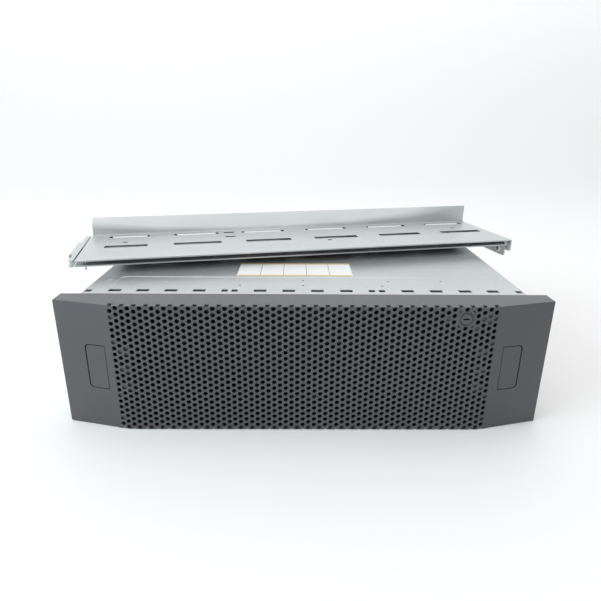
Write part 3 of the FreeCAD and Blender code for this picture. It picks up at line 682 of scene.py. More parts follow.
def addWing(bm, side, ladder, padLow, padHigh, outerX, values):
    # ladder holds the field's ragged edge as (x, z) points from bottom to top
    window = [(side * a, b) for a, b in roundRect(padLow, padHigh, values["padCorners"], steps=5)]
    inner = values["fieldEnd"]
    straight = [(side * inner, z) for _, z in ladder]
    outline = straight + [(side * outerX, ladder[-1][1]), (side * outerX, ladder[0][1])]
    rims = []
    for depth in (0.0, values["plate"]):
        ragged = [bm.verts.new((x, depth, z)) for x, z in ladder]
        around, hole = fillLoops(bm, [outline, window], lambda a, b: (a, depth, b))
        for k in range(1, len(ladder)):
            bm.faces.new((ragged[k - 1], ragged[k], around[k], around[k - 1]))
        rims.append((hole, around[-2:]))
    (frontHole, frontOuter), (backHole, backOuter) = rims
    addWalls(bm, frontHole, backHole)
    bm.faces.new((*frontOuter, *reversed(backOuter)))


def barrelRadius(values):
    # the lock barrel is measured where it stands in the face
    low, high = boxOf("lock_barrel")
    points = [vert.co / mm for vert in frame["nodes"]["lock_barrel"].data.vertices]
    middle = (low.x + high.x) / 2
    return max(abs(p.x - middle) for p in points if p.y < low.y + values["barrelFace"])


def padWindow(values):
    # the window is the pad's outline with its gaps, measured in the right wing
    points = [vert.co / mm for vert in frame["nodes"]["right_latch"].data.vertices]
    front = boxOf("bezel_shell")[0].y
    face = [p for p in points if abs(p.y - front - wingSweep(p.x)) < values["padFace"]]
    xs = [p.x for p in face]
    zs = [p.z for p in face]
    gap = values["padGap"]
    edge = values["padEdgeGap"]
    return (min(xs) - gap, min(zs) - edge), (max(xs) + values["padOuterGap"], max(zs) + edge)


def holeAt(column, row, values):
    # every other column stands half a row lower
    x = values["firstColumn"] + column * values["columnStep"]
    z = values["firstHole"] - (row + column % 2 * 0.5) * values["rowStep"]
    return x, z


def addField(bm, lockX, lockZ, values):
    plain = []
    for column in range(values["columns"]):
        for row in range(values["rows"]):
            x, z = holeAt(column, row, values)
            if math.hypot(x - lockX, z - lockZ) < values["lockPatch"]:
                plain.append((x, z))
            else:
                addCell(bm, x, z, values)
    addLockPatch(bm, plain, lockX, lockZ, barrelRadius(values) + values["lockClear"], values)


def fieldEdge(side, values):
    # the ragged left or right edge of the field, from bottom to top
    column = 0 if side < 0 else values["columns"] - 1
    edge = {}
    for row in range(values["rows"]):
        outline = cellOutline(*holeAt(column, row, values), values)
        for x, z in outline[4:9] if side < 0 else outline[10:] + outline[:3]:
            edge[round(z, 3)] = x
    return [(edge[z], z) for z in sorted(edge)]


def trimHeight(bm, low, high, values):
    # cuts the field to the moulding's height, so that holes on the edge leave notches
    for z, up in ((high.z, 1), (low.z, -1)):
        everything = bm.verts[:] + bm.edges[:] + bm.faces[:]
        cut = bmesh.ops.bisect_plane(bm, geom=everything, dist=values["trim"], plane_co=(0, 0, z),
                                     plane_no=(0, 0, up), clear_outer=True)
        rim = [part for part in cut["geom_cut"] if isinstance(part, bmesh.types.BMEdge)]
        bmesh.ops.triangle_fill(bm, edges=rim, use_beauty=True)


def addBacking(bm, low, high, values):
    # top, bottom and end walls behind the face
    wall = values["wall"]
    reach = [-high.x, -values["fieldEnd"], -values["flatHalf"], -values["flatHalf"] + values["bend"]]
    for bottom, depth in ((high.z - wall, values["plate"]), (low.z, values["floorDepth"])):
        front = [(x, low.y + wingSweep(x) + depth) for x in reach]
        front += [(-x, y) for x, y in reversed(front)]
        outline = front + [(high.x, high.y), (-high.x, high.y)]
        addRun(bm, outline, bottom, bottom + wall, lambda x, y, z: (x, y, z))
    endFront = low.y + wingSweep(high.x) + values["plate"]
    for side in (-1, 1):
        ends = sorted((side * high.x, side * (high.x - wall)))
        addBlock(bm, (ends[0], endFront, low.z + wall), (ends[1], high.y, high.z - wall))


def addEyes(bm, low, values):
    # eyes for the latch pins
    pinLow, pinHigh = boxOf("latch_pins")
    eye, tall = values["eye"], values["eyeHeight"]
    y = (pinLow.y + pinHigh.y) / 2
    for side in (-1, 1):
        x = side * (pinHigh.x - values["pinRadius"])
        front = low.y + wingSweep(x) + values["plate"] - values["eyeSink"]
        for bottom in (pinLow.z, pinHigh.z - tall):
            addBlock(bm, (x - eye, front, bottom), (x + eye, y + eye, bottom + tall))


def addClips(bm, low, lockX, lockZ, values):
    # clips and ribs behind the ends of the field and posts beside the lock, which show in a few holes
    lastColumn = values["firstColumn"] + (values["columns"] - 1) * values["columnStep"]
    blocks = []
    for kind in ("clip", "rib"):
        half = values[kind + "Half"]
        for end, inward in ((values["firstColumn"], 1), (lastColumn, -1)):
            ends = sorted(end + inward * x for x in values[kind + "Span"])
            for row in values[kind + "Rows"]:
                blocks.append((*ends, values["firstHole"] - row * values["rowStep"], half))
    half = values["postHalf"]
    for column, row in values["lockPosts"]:
        x = lockX + column * values["columnStep"]
        blocks.append((x - half, x + half, lockZ + row * values["rowStep"], half))
    for left, right, z, half in blocks:
        y = low.y + max(wingSweep(left), wingSweep(right))
        addBlock(bm, (left, y + values["clipDepth"], z - half),
                 (right, y + values["plate"] + values["wall"], z + half))


def markEdges(bm, low, high, values):
    # the moulding's outer edges are rounded, those of the field are not
    near = values["weld"]
    weights = bm.edges.layers.float.new("bevel_weight_edge")
    for edge in bm.edges:
        a, b = (vert.co for vert in edge.verts)
        ends = all(abs(abs(p.x) - high.x) < near for p in (a, b))
        caps = all(abs(p.z - high.z) < near or abs(p.z - low.z) < near for p in (a, b))
        face = all(p.y < low.y + wingSweep(p.x) + near for p in (a, b))
        field = any(abs(p.x) < values["fieldEnd"] - near for p in (a, b))
        level = abs(a.z - b.z) < near
        if (ends and caps and level) or (ends and face) or (caps and face and not field):
            edge[weights] = 1.0


def buildBezel(values):
    low, high = boxOf("bezel_shell")
    barrelLow, barrelHigh = boxOf("lock_barrel")
    lockX = (barrelLow.x + barrelHigh.x) / 2
    lockZ = (barrelLow.z + barrelHigh.z) / 2
    bm = bmesh.new()
    addField(bm, lockX, lockZ, values)
    for side in (-1, 1):
        addWing(bm, side, fieldEdge(side, values), *padWindow(values), high.x, values)
    bmesh.ops.remove_doubles(bm, verts=bm.verts, dist=values["weld"])
    trimHeight(bm, low, high, values)
    for vert in bm.verts:
        vert.co.y += low.y + wingSweep(vert.co.x)
    addBacking(bm, low, high, values)
    addEyes(bm, low, values)
    addClips(bm, low, lockX, lockZ, values)
    markEdges(bm, low, high, values)
    shell = finishPiece("bezelMoulding", bm, "bezel", "bezel_plastic")
    rounding = shell.modifiers.new("outerEdges", "BEVEL")
    rounding.limit_method = "WEIGHT"
    rounding.width = values["edge"] * mm
    rounding.segments = values["edgeSegments"]
    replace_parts(shell, "bezel_shell")
    for side in ("left", "right"):
        soften(frame["nodes"][side + "_latch"], values["latchEdge"])


buildBezel(bezelLook)
print("bezel moulded")


# Lock: a turned barrel round the key plug
lockLook = {
    "sides": 40,
    "bore": 5.35,
    "boreStart": 1.2,
    "boreLip": 0.1,
    "lip": 0.45,
    "nut": 10.0,
    "nutSides": 6,
    "nutStart": 6.2,
    "nutLength": 3.0,
    "plugEdge": 0.2,
    "camEdge": 0.25,
}


def buildLock(values):
    low, high = boxOf("lock_barrel")
    centre = ((low.x + high.x) / 2, low.y, (low.z + high.z) / 2)
    length = high.y - low.y
    radius = barrelRadius(bezelLook)
    lip, bore, start = values["lip"], values["bore"], values["boreStart"]
    profile = [(bore, start), (bore + values["boreLip"], lip), (bore + lip, 0.0), (radius - lip, 0.0),
               (radius, lip), (radius, length), (bore, length), (bore, start)]
    bm = bmesh.new()
    addTurned(bm, profile, centre, (0, 1, 0), values["sides"])
    nut = min(values["nut"], (high.x - low.x) / 2)
    inner = min(radius, nut)
    near, far = values["nutStart"], values["nutStart"] + values["nutLength"]
    ring = [(inner, near), (nut, near), (nut, far), (inner, far), (inner, near)]
    addTurned(bm, ring, centre, (0, 1, 0), values["nutSides"])
    barrel = finishPiece("lockBarrel", bm, "bezel", "lock_black")
    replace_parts(barrel, "lock_barrel")
    soften(frame["nodes"]["lock_plug"], values["plugEdge"])
    soften(frame["nodes"]["lock_cam"], values["camEdge"])


buildLock(lockLook)
print("lock turned")


# Cover: a zinc sheet with a sunk front strip, slots over the bay walls, small holes and rivets
coverLook = {
    "sheet": 1.2,
    "sunkHalf": 200.0,
    "sunkEnd": -116.8,
    "sunkDepth": 0.4,
    "slope": 0.6,
    "corner": 6.0,
    "slotFront": -166.1,
    "slotWidth": 7.1,
    "slotLength": 12.8,
    "slotCorner": 0.5,
    "slots": (-193.0, -164.6, -135.9, -107.2, -45.2, -15.9, 13.4, 43.1, 105.9, 135.1, 164.7, 193.6),
    "halfSlots": (-218.6, -81.3, -71.2, 69.2, 79.5, 218.8),
    "outerShift": -2.8,
    "skirt": 9.4,
    "holes": ((-67.6, -145.7), (-1.2, -145.5), (-1.0, -128.5), (82.4, -146.4), (90.9, -131.2),
              (148.0, -130.4)),
    "holeRadius": 1.3,
    "dimples": ((-209.0, -128.5), (-147.4, -132.3), (-90.6, -126.9), (209.5, -125.7), (148.7, -23.4),
                (208.5, -22.4)),
    "dimpleRadius": 2.1,
    "dimpleRise": 0.35,
    "dimpleShoulder": (0.75, 0.7),      # shares of the radius and the rise
    "dimpleSink": 0.1,
    "lipGap": 0.2,
    # the dark pads under the outer slots are painted shade
    "padMargin": 1.0,
    "padCorner": 1.0,
    "padSink": 0.25,
    "padThick": 0.3,
    "weld": 0.005,
}


def sunkLine(half, end, corner, front, steps=6):
    # the strip's edge from its left front end round to its right front end
    line = [(-half, front)]
    for side in (-1, 1):
        for step in range(steps + 1):
            turn = math.pi / 2 * (step / steps if side < 0 else 1 - step / steps)
            line.append((side * (half - corner + corner * math.cos(turn)),
                         end - corner + corner * math.sin(turn)))
    return line + [(half, front)]


def slotOutlines(values):
    # the slots in the sunk strip, and those beside it, which stand a little further forward
    strip, beside = [], []
    long = values["slotLength"]
    for places, length in ((values["slots"], long), (values["halfSlots"], long / 2)):
        for x in places:
            sunk = abs(x) < values["sunkHalf"]
            front = values["slotFront"] + (0.0 if sunk else values["outerShift"])
            slot = roundRect((x - length / 2, front), (x + length / 2, front + values["slotWidth"]),
                             values["slotCorner"], steps=2)
            (strip if sunk else beside).append(slot)
    return strip, beside


def pressSheet(bm, outer, inner, low, high, values):
    # the sheet with its sunk strip and the slope between, thickened downwards
    level = high.z
    floor = level - values["sunkDepth"]
    strip, beside = slotOutlines(values)
    holes = [circle(x, y, values["holeRadius"], sides=12) for x, y in values["holes"]]
    side = high.x + values["sheet"]
    upper = [(-side, low.y)] + outer + [(side, low.y), (side, high.y), (-side, high.y)]
    fillLoops(bm, [upper] + beside, lambda x, y: (x, y, level))
    fillLoops(bm, [inner] + holes + strip, lambda x, y: (x, y, floor))
    ribbon = [[bm.verts.new((x, y, z)) for x, y in line] for line, z in ((outer, level), (inner, floor))]
    for k in range(1, len(outer)):
        bm.faces.new((ribbon[0][k - 1], ribbon[0][k], ribbon[1][k], ribbon[1][k - 1]))
    bmesh.ops.remove_doubles(bm, verts=bm.verts, dist=values["weld"])
    bmesh.ops.recalc_face_normals(bm, faces=bm.faces)
    if bm.faces[:][0].normal.z < 0:
        bmesh.ops.reverse_faces(bm, faces=bm.faces)
    sheet = bm.faces[:]
    rim = [edge.verts[:] for edge in bm.edges if edge.is_boundary]
    drop = Vector((0, 0, values["sheet"]))
    under = {vert: bm.verts.new(vert.co - drop) for vert in bm.verts[:] if vert.link_faces}
    for face in sheet:
        bm.faces.new([under[vert] for vert in reversed(face.verts)])
    for a, b in rim:
        bm.faces.new((a, b, under[b], under[a]))


def buildCover(values):
    low, high = boxOf("top_cover")
    top = high.z
    floor = top - values["sunkDepth"]
    sheet, half, slope = values["sheet"], values["sunkHalf"], values["slope"]
    outer = sunkLine(half, values["sunkEnd"], values["corner"], low.y)
    inner = sunkLine(half - slope, values["sunkEnd"] - slope, values["corner"] - slope, low.y)
    bm = bmesh.new()
    pressSheet(bm, outer, inner, low, high, values)
    addBlock(bm, (-half, low.y, low.z), (half, low.y + sheet, floor - values["lipGap"]))
    side = high.x + sheet
    for ends in ((-side, low.x), (high.x, side)):
        addBlock(bm, (ends[0], low.y, top - values["skirt"]), (ends[1], high.y, top - sheet))
    cover = finishPiece("coverSheet", bm, "chassis", "galvanised_steel")
    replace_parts(cover, "top_cover")

    bm = bmesh.new()
    radius, rise, sink = values["dimpleRadius"], values["dimpleRise"], values["dimpleSink"]
    inwards, upwards = values["dimpleShoulder"]
    profile = [(radius, 0.0), (radius * inwards, sink + rise * upwards), (0.0, sink + rise)]
    for x, y in values["dimples"]:
        sunk = abs(x) < half and y < values["sunkEnd"]
        addTurned(bm, profile, (x, y, (floor if sunk else top) - sink), (0, 0, 1), sides=16)
    finishPiece("coverRivets", bm, "chassis", "galvanised_steel")

    # dark pads under the outermost slots, painted shade that darkens the openings from below
    bm = bmesh.new()
    margin = values["padMargin"]
    reach = values["slotLength"] / 4 + margin
    front = values["slotFront"] + values["outerShift"]
    base = top - sheet - values["padSink"]
    for x in values["halfSlots"]:
        if abs(x) > half:
            pad = roundRect((x - reach, front - margin), (x + reach, front + values["slotWidth"] + margin),
                            values["padCorner"])
            addPlate(bm, pad, [], lambda a, b, depth: (a, b, base + depth), values["padThick"])
    finishPiece("slotShadePads", bm, "chassis", "guide_plastic")


buildCover(coverLook)
print("cover pressed")


# A bare sticker on the cover, ruled into empty cells
stickerLook = {
    "low": (-74.4, -113.8),
    "high": (55.0, -62.0),
    "corner": 1.5,
    "thickness": 0.15,
    "border": 4.5,
    "rule": 0.5,
    "cells": 5,
    "ink": 0.02,
    "borderInset": 1.0,
}


def buildSticker(values):
    low, high = values["low"], values["high"]
    edge, inset, half = values["border"], values["borderInset"], values["rule"] / 2
    base = boxOf("top_cover")[1].z
    face = base + values["thickness"]
    under, over = face - values["ink"], face + values["ink"]
    bm = bmesh.new()
    outline = roundRect(low, high, values["corner"])
    addPlate(bm, outline, [], lambda a, b, depth: (a, b, base + depth), values["thickness"])
    finishPiece("coverSticker", bm, "chassis", "galvanised_steel", labelPaper)
    bm = bmesh.new()
    for y in (low[1], high[1] - edge):
        addBlock(bm, (low[0] + inset, y, under), (high[0] - inset, y + edge, over))
    finishPiece("stickerBorder", bm, "chassis", "galvanised_steel", labelEdge)
    bm = bmesh.new()
    for cell in range(1, values["cells"]):
        x = low[0] + (high[0] - low[0]) * cell / values["cells"]
        addBlock(bm, (x - half, low[1] + edge, under), (x + half, high[1] - edge, over))
    finishPiece("stickerRules", bm, "chassis", "galvanised_steel", finishes["plug_black"])


buildSticker(stickerLook)
print("sticker laid")


# Rack rails: folded sheet with rounded bends, slots with their flaps bent down, and a ledge
railLook = {
    "yaw": 12.1,
    "place": (57.3, -46.4),
    "nest": (-2.5, 8.4),
    "sheet": 1.5,
    "bend": 3.0,
    "left": -316.5,
    "right": 224.5,
    "web": 128.5,
    "ledge": 25.5,
    "ledgeStart": 2.5,
    "ledgeStop": 2.5,
    "endDrop": 16.0,
    "endMargin": 2.0,
    "endHole": 3.3,
    "endHoleInset": 14.0,
    "endCorner": 2.5,
    "nut": (4.6, 3.0, 3.0),         # across its corners, bore and depth
    "nutCore": (0.1, 0.6, 1.2),     # past the bore, start and thickness
    "slotFirst": -271.5,
    "slotPitch": 90.5,
    "slotCount": 6,
    "slotSize": (58.8, 11.0),
    "slotCorner": 0.8,
    "rearSlot": 8.5,
    "slotFirstCut": 8.0,
    "slotRows": ((60.2, 1), (112.8, -1)),
    "flapDrop": 6.5,
    "flapLand": 2.0,
    "flapGap": 0.8,
    "flapEnds": (0.8, 3.6),
    "ovals": ((-270.6, 80.6), (182.0, 84.4), (-12.4, 46.0)),
    "ovalSize": (6.5, 4.0),
    "slits": ((-137.6, 89.0), (-137.6, 114.2)),
    "slitSize": (15.4, 5.4),
    "tongueV": 86.5,
    "tongueWidth": 33.0,
    "tongueLength": 245.0,
    "keepers": (-294.0, -211.0),
    "keeperLength": 12.0,
    "keeperWall": 1.2,
    "keeperRoot": 0.4,
    "seatGap": 0.3,
    "studInset": (9.5, 12.0),
    "studRadius": 1.1,
    "studRoot": 0.5,
    "edge": (0.25, 60.0),           # rounding and the least angle that takes it
    "edgeLining": 0.2,
    "liningCorner": 0.5,
    "liningSink": 0.1,
    "liningTrim": 0.15,
    "square": 0.01,                 # the radius of a corner that stays square
    "stripGap": 2.0,
    "strip": 5.2,
    "stripThick": 2.0,
    "stripCorners": (0.6, 0.6, 2.4, 2.4),
    "channel": 6.0,
    "channelSpan": (37.0, 99.0),
    "channelWall": 1.1,
    "channelRoot": 0.5,
    "channelCorners": (0.05, 1.4, 1.4, 0.05),
    "channelInner": 0.4,
    "tongueStart": 1.0,
    "tongueCorners": (3.0, 0.1, 0.1, 3.0),
    "tongueSlots": (-210.0, -150.0, -100.0),
    "tongueSlotSize": (30.0, 7.0),
    "endEdge": (0.5, 50.0, 3),
}


def bendPoints(centre, radius, start, end, steps=5):
    turns = [math.radians(start + (end - start) * k / steps) for k in range(steps + 1)]
    return [(centre[0] + radius * math.cos(t), centre[1] + radius * math.sin(t)) for t in turns]


def railPlace(node, nest, values):
    # u runs along the rail, v across it and z up from the underside of its web
    webZ = boxOf(node)[1].z - values["ledge"]
    yaw = math.radians(values["yaw"])

    def place(u, v, z):
        u += nest[0]
        v += nest[1]
        return (values["place"][0] + u * math.cos(yaw) - v * math.sin(yaw),
                values["place"][1] + u * math.sin(yaw) + v * math.cos(yaw), webZ + z)

    return place


def railHoles(values):
    # the slots, ovals and slits in the web, and the flaps bent out of the slots as (first, last, hinge, free)
    long, wide = values["slotSize"]
    holes, flaps = [], []
    widths = (wide, values["rearSlot"])
    for (middle, inward), ends, width in zip(values["slotRows"], values["flapEnds"], widths):
        for number in range(values["slotCount"]):
            first = values["slotFirst"] + number * values["slotPitch"] - long / 2
            last = first + long
            if number == 0:
                first += values["slotFirstCut"]
            holes.append(roundRect((first, middle - width / 2), (last, middle + width / 2),
                                   values["slotCorner"], steps=2))
            flaps.append((first + ends, last - ends, middle - inward * width / 2,
                          middle + inward * (width / 2 - values["flapGap"])))
    for places, size in ((values["ovals"], values["ovalSize"]), (values["slits"], values["slitSize"])):
        holes += [centredRect(u, v, size, size[1] / 2 - values["square"], steps=4) for u, v in places]
    return holes, flaps


def endHoles(values):
    # places of the end flange's holes, across the rail and in height
    inset = values["endHoleInset"]
    height = values["sheet"] - values["endDrop"] / 2
    return [(inset, height), (values["web"] - inset, height)]


def lineSlots(name, node, holes, place, values):
    # dark linings on the slots' sheared edges paint the shade that falls in the slots
    lining = values["edgeLining"]
    bm = bmesh.new()
    for hole in holes:
        us, vs = zip(*hole)
        inner = roundRect((min(us) + lining, min(vs) + lining), (max(us) - lining, max(vs) - lining),
                          values["liningCorner"], steps=2)
        addPlate(bm, hole, [inner], lambda u, v, depth: place(u, v, values["liningSink"] + depth),
                 values["sheet"] - values["liningTrim"])
    finishPiece(name + "Edges", bm, node, "rail_steel", paintedShadeEdge)


def foldSheet(bm, holes, place, values):
    # the web, the ledge with its bend, and the end flange
    sheet, bend, top = values["sheet"], values["bend"], values["ledge"]
    left, right, web = values["left"], values["right"], values["web"]
    start = left + values["ledgeStart"]
    stop = right - values["ledgeStop"]
    fold = 2 * bend
    outline = [(left, 0.0), (right - fold, 0.0), (right - fold, web), (stop, web), (stop, web - fold),
               (start, web - fold), (start, web), (left, web)]
    addPlate(bm, outline, holes, place, sheet)
    turn = (web - bend, bend)
    ledge = [(web - fold, 0.0)] + bendPoints(turn, bend, -90, 0) + [(web, top), (web - sheet, top)]
    ledge += bendPoints(turn, bend - sheet, 0, -90) + [(web - fold, sheet)]
    addRun(bm, ledge, start, stop, lambda v, z, u: place(u, v, z))
    turn = (right - bend, sheet - bend)
    flange = [(right - fold, sheet)] + bendPoints(turn, bend, 90, 0)
    flange += bendPoints(turn, bend - sheet, 0, 90) + [(right - fold, 0.0)]
    margin, square, corner = values["endMargin"], values["square"], values["endCorner"]
    addRun(bm, flange, margin, web - margin, lambda u, z, v: place(u, v, z))
    panel = roundRect((margin, sheet - values["endDrop"]), (web - margin, sheet - bend),
                      (square, square, corner, corner))
    bores = [circle(v, z, values["endHole"], sides=20) for v, z in endHoles(values)]
    addPlate(bm, panel, bores, lambda v, z, depth: place(right - sheet + depth, v, z), sheet)


def addKeepers(bm, place, values):
    # keepers round the sliding tongue
    gap, wall, root = values["seatGap"], values["keeperWall"], values["keeperRoot"]
    near = values["tongueV"] - values["tongueWidth"] / 2 - gap - wall
    far = values["tongueV"] + values["tongueWidth"] / 2 + gap + wall
    under = -2 * gap - values["sheet"]
    keeper = [(near, root), (near, under - wall), (far, under - wall), (far, root), (far - wall, root),
              (far - wall, under), (near + wall, under), (near + wall, root)]
    for u in values["keepers"]:
        addRun(bm, keeper, u, u + values["keeperLength"], lambda v, z, along: place(along, v, z))


def addNuts(name, node, place, values):
    # closed clinch nuts behind the end holes, in near-white zinc that paints a highlight, with dark cores
    # that paint the shade inside their bores
    nuts = bmesh.new()
    cores = bmesh.new()
    across, bore, deep = values["nut"]
    past, start, thick = values["nutCore"]
    u = values["right"] - values["sheet"]
    for v, z in endHoles(values):
        addPlate(nuts, circle(v, z, across, sides=6), [circle(v, z, bore, sides=20)],
                 lambda a, b, depth: place(u - depth, a, b), deep)
        addPlate(cores, circle(v, z, bore + past, sides=20), [],
                 lambda a, b, depth: place(u - start - depth, a, b), thick)
    finishPiece(name + "Nuts", nuts, node, "rail_steel", paintedLitZinc)
    finishPiece(name + "NutCores", cores, node, "rail_steel", paintedShadeEdge)


def buildRail(name, node, nest, values):
    place = railPlace(node, nest, values)
    holes, flaps = railHoles(values)
    lineSlots(name, node, holes, place, values)
    bm = bmesh.new()
    foldSheet(bm, holes, place, values)

    # slot metal bent down until its free edge lies flat on what is below; the rear row is given near-white
    # zinc, a painted highlight
    sheet, drop = values["sheet"], -values["flapDrop"]
    paintedBright = bmesh.new()
    for number, (first, last, hinge, free) in enumerate(flaps):
        land = free + math.copysign(values["flapLand"], hinge - free)
        profile = [(hinge, sheet), (hinge, 0.0), (land, drop), (free, drop), (free, drop + sheet),
                   (land, drop + sheet)]
        row = bm if number < values["slotCount"] else paintedBright
        addRun(row, profile, first, last, lambda v, z, along: place(along, v, z))
    finishPiece(name + "RearFlaps", paintedBright, node, "rail_steel", paintedLitZinc)
    addKeepers(bm, place, values)
    rail = finishPiece(name, bm, node, "rail_steel")
    soften(rail, *values["edge"])
    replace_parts(rail, node)
    addNuts(name, node, place, values)

    # a dark stud under the near corner
    bm = bmesh.new()
    radius, tall = values["studRadius"], values["studRoot"] - drop
    inset, across = values["studInset"]
    addTurned(bm, [(0.0, 0.0), (radius, 0.0), (radius, tall), (0.0, tall)],
              place(values["left"] + inset, across, drop), (0, 0, 1), sides=16)
    finishPiece(name + "Stud", bm, node, "rail_steel", finishes["module_steel"])


def buildAdjuster(name, node, nest, hasChannel, values):
    # a slotted tongue, a rounded cross strip at the rail's end and, on the upper one, an open channel
    place = railPlace(node, nest, values)
    sheet, margin = values["sheet"], values["endMargin"]
    top = -values["seatGap"]
    edge = values["left"] - values["stripGap"]
    strip = edge - values["strip"]
    middle, half = values["tongueV"], values["tongueWidth"] / 2
    bm = bmesh.new()
    outline = roundRect((strip, margin), (edge, values["web"] - margin), values["stripCorners"], steps=4)
    addPlate(bm, outline, [], lambda u, v, depth: place(u, v, sheet - depth), values["stripThick"])
    size = values["tongueSlotSize"]
    corner = size[1] / 2 - values["square"]
    slots = [centredRect(u, middle, size, corner, steps=5) for u in values["tongueSlots"]]
    outline = roundRect((strip + values["tongueStart"], middle - half),
                        (values["left"] + values["tongueLength"], middle + half), values["tongueCorners"])
    addPlate(bm, outline, slots, lambda u, v, depth: place(u, v, top - sheet + depth), sheet)
    if hasChannel:
        near, far = values["channelSpan"]
        wall = values["channelWall"]
        start = strip - values["channel"]
        low = values["seatGap"] - values["flapDrop"]
        outer = roundRect((start, low), (strip + values["channelRoot"], top), values["channelCorners"])
        inner = roundRect((start + wall, low + wall), (strip - wall, top - wall),
                          values["channelInner"], steps=2)
        addPlate(bm, outer, [inner], lambda u, z, depth: place(u, near + depth, z), far - near)
    adjuster = finishPiece(name, bm, node + "_adjuster", "rail_steel")
    soften(adjuster, *values["endEdge"])
    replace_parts(adjuster, node + "_adjuster")


for name, nest in (("lower", railLook["nest"]), ("upper", (0.0, 0.0))):
    buildRail(name + "RailSheet", name + "_rail", nest, railLook)
    buildAdjuster(name + "RailEnd", name + "_rail", nest, name == "upper", railLook)
print("rails folded")


# Drive modules: a dark fascia, a metal carrier and its disk, drawn once and set in every bay
driveLook = {
    "count": 15,
    "pattern": "08",          # the middle bay is drawn and its meshes are shared
    "side": 1.2,
    "runner": 3.0,
    "front": 4.0,
    "frontCorner": 0.4,
    "frontVent": ((-8.5, -11.5), (8.5, -5.5)),      # heights are measured from the carrier's top
    "frontVentCorner": 0.6,
    "tail": 4.0,
    "tailCorner": 0.8,
    "tailOpening": ((-5.5, 42.0), (5.5, 89.0)),
    "tailOpeningCorner": 1.0,
    "square": 0.1,            # the radius of a corner that stays square
    "fascia": 2.4,
    "fasciaCorner": 1.2,
    "fasciaEdge": 0.3,
    "inset": 0.15,
    "ventSize": (17.0, 1.5),
    "ventPitch": 2.25,
    "ventCount": 3,
    "ventTop": 8.9,
    "ventShift": 0.4,
    "ventSquare": 0.01,
    "lensPlaces": ((-7.5, 105.5), (7.5, 105.5)),
    "lens": 1.3,
    "lensRoom": 0.05,
    "lensRise": 0.6,
    "lensShoulder": (0.8, 0.7),     # shares of the radius and the rise
    "windows": 4,
    "windowSize": (28.0, 30.0),
    "windowRise": 0.7,        # a window's middle above and below the carrier's, in its own heights
    "windowCorner": 4.0,
    "runnerOpening": (-5.0, 7.0),
    "runnerReach": 9.0,
    "runnerInset": 30.0,
    "runnerCorner": 3.0,
    "earWidth": 1.6,
    "earGap": 11.4,
    "earStart": 0.2,
    "knuckle": 1.95,
    "pin": 0.9,
    "pivot": (-171.4, 13.6),
    "abovePivot": 10.0,       # the face is measured this far above the lever's pivot
}


screwLook = {
    "sides": 14,
    "shoulder": 0.5,            # share of the rise
    "crown": 0.75,              # this and the recess are shares of the radius
    "recess": (0.4, 0.3),       # at its mouth and at its floor
}


def screwHead(bm, place, direction, radius, rise, deep):
    # a pan head with a small round recess
    values = screwLook
    mouth, floor = (radius * share for share in values["recess"])
    profile = [(radius, 0.0), (radius, rise * values["shoulder"]), (radius * values["crown"], rise),
               (mouth, rise), (floor, rise - deep), (0.0, rise - deep)]
    addTurned(bm, profile, place, direction, values["sides"])


def bayMiddle(tag):
    low, high = boxOf("drive_lever_" + tag)
    return (low.x + high.x) / 2


def carrierFront(values):
    # the face above the lever's ears
    lift = values["pivot"][1] + values["abovePivot"]
    verts = frame["nodes"]["drive_carrier_" + values["pattern"]].data.vertices
    return min(vert.co.y / mm for vert in verts if vert.co.z / mm > lift)


def drawCarrier(front, end, values):
    low, high = boxOf("drive_carrier_" + values["pattern"])
    pivotY, pivotZ = values["pivot"]
    side, runner, square = values["side"], values["runner"], values["square"]
    start = front + values["front"]
    middle = (low.z + high.z) / 2
    bm = bmesh.new()
    ventLow, ventHigh = ((x, high.z + z) for x, z in values["frontVent"])
    addPlate(bm, roundRect((low.x, low.z), (high.x, high.z), values["frontCorner"], steps=2),
             [roundRect(ventLow, ventHigh, values["frontVentCorner"], steps=2)],
             facing(front + values["fascia"]), values["front"] - values["fascia"])
    windows = []
    pitch = (end - start) / values["windows"]
    rise = values["windowSize"][1] * values["windowRise"]
    for number in range(values["windows"]):
        y = start + (number + 0.5) * pitch
        windows += [centredRect(y, z, values["windowSize"], values["windowCorner"])
                    for z in (middle - rise, middle + rise)]
    addPlate(bm, roundRect((start, low.z), (end, high.z), square, steps=1), windows,
             lambda y, z, depth: (low.x + depth, y, z), side)
    left, right = values["runnerOpening"]
    reach, inset = values["runnerReach"], values["runnerInset"]
    openings = [roundRect((left, y - reach), (right, y + reach), values["runnerCorner"])
                for y in (start + inset, (start + end) / 2, end - inset)]
    for bottom in (low.z, high.z - runner):
        addPlate(bm, roundRect((low.x + side, start), (high.x, end), square, steps=1), openings,
                 lambda x, y, depth: (x, y, bottom + depth), runner)
    opening = roundRect(*values["tailOpening"], values["tailOpeningCorner"], steps=2)
    addPlate(bm, roundRect((low.x, low.z), (high.x, high.z), values["tailCorner"], steps=2), [opening],
             facing(end), values["tail"])

    # ears and the lever's pin
    gap, r, pin = values["earGap"], values["knuckle"], values["pin"]
    root = front + values["earStart"]
    ear = [(root, pivotZ - r), (root, pivotZ + r)] + bendPoints((pivotY, pivotZ), r, 90, 270, 8)
    for way in (-1, 1):
        ends = sorted((way * gap, way * (gap + values["earWidth"])))
        addRun(bm, ear, ends[0], ends[1], lambda y, z, x: (x, y, z))
    addTurned(bm, [(0.0, 0.0), (pin, 0.0), (pin, 2 * gap), (0.0, 2 * gap)], (-gap, pivotY, pivotZ), (1, 0, 0),
              sides=16)
    addDisk(bm, low.x, start, low.z + runner, side, diskLook)
    return bm


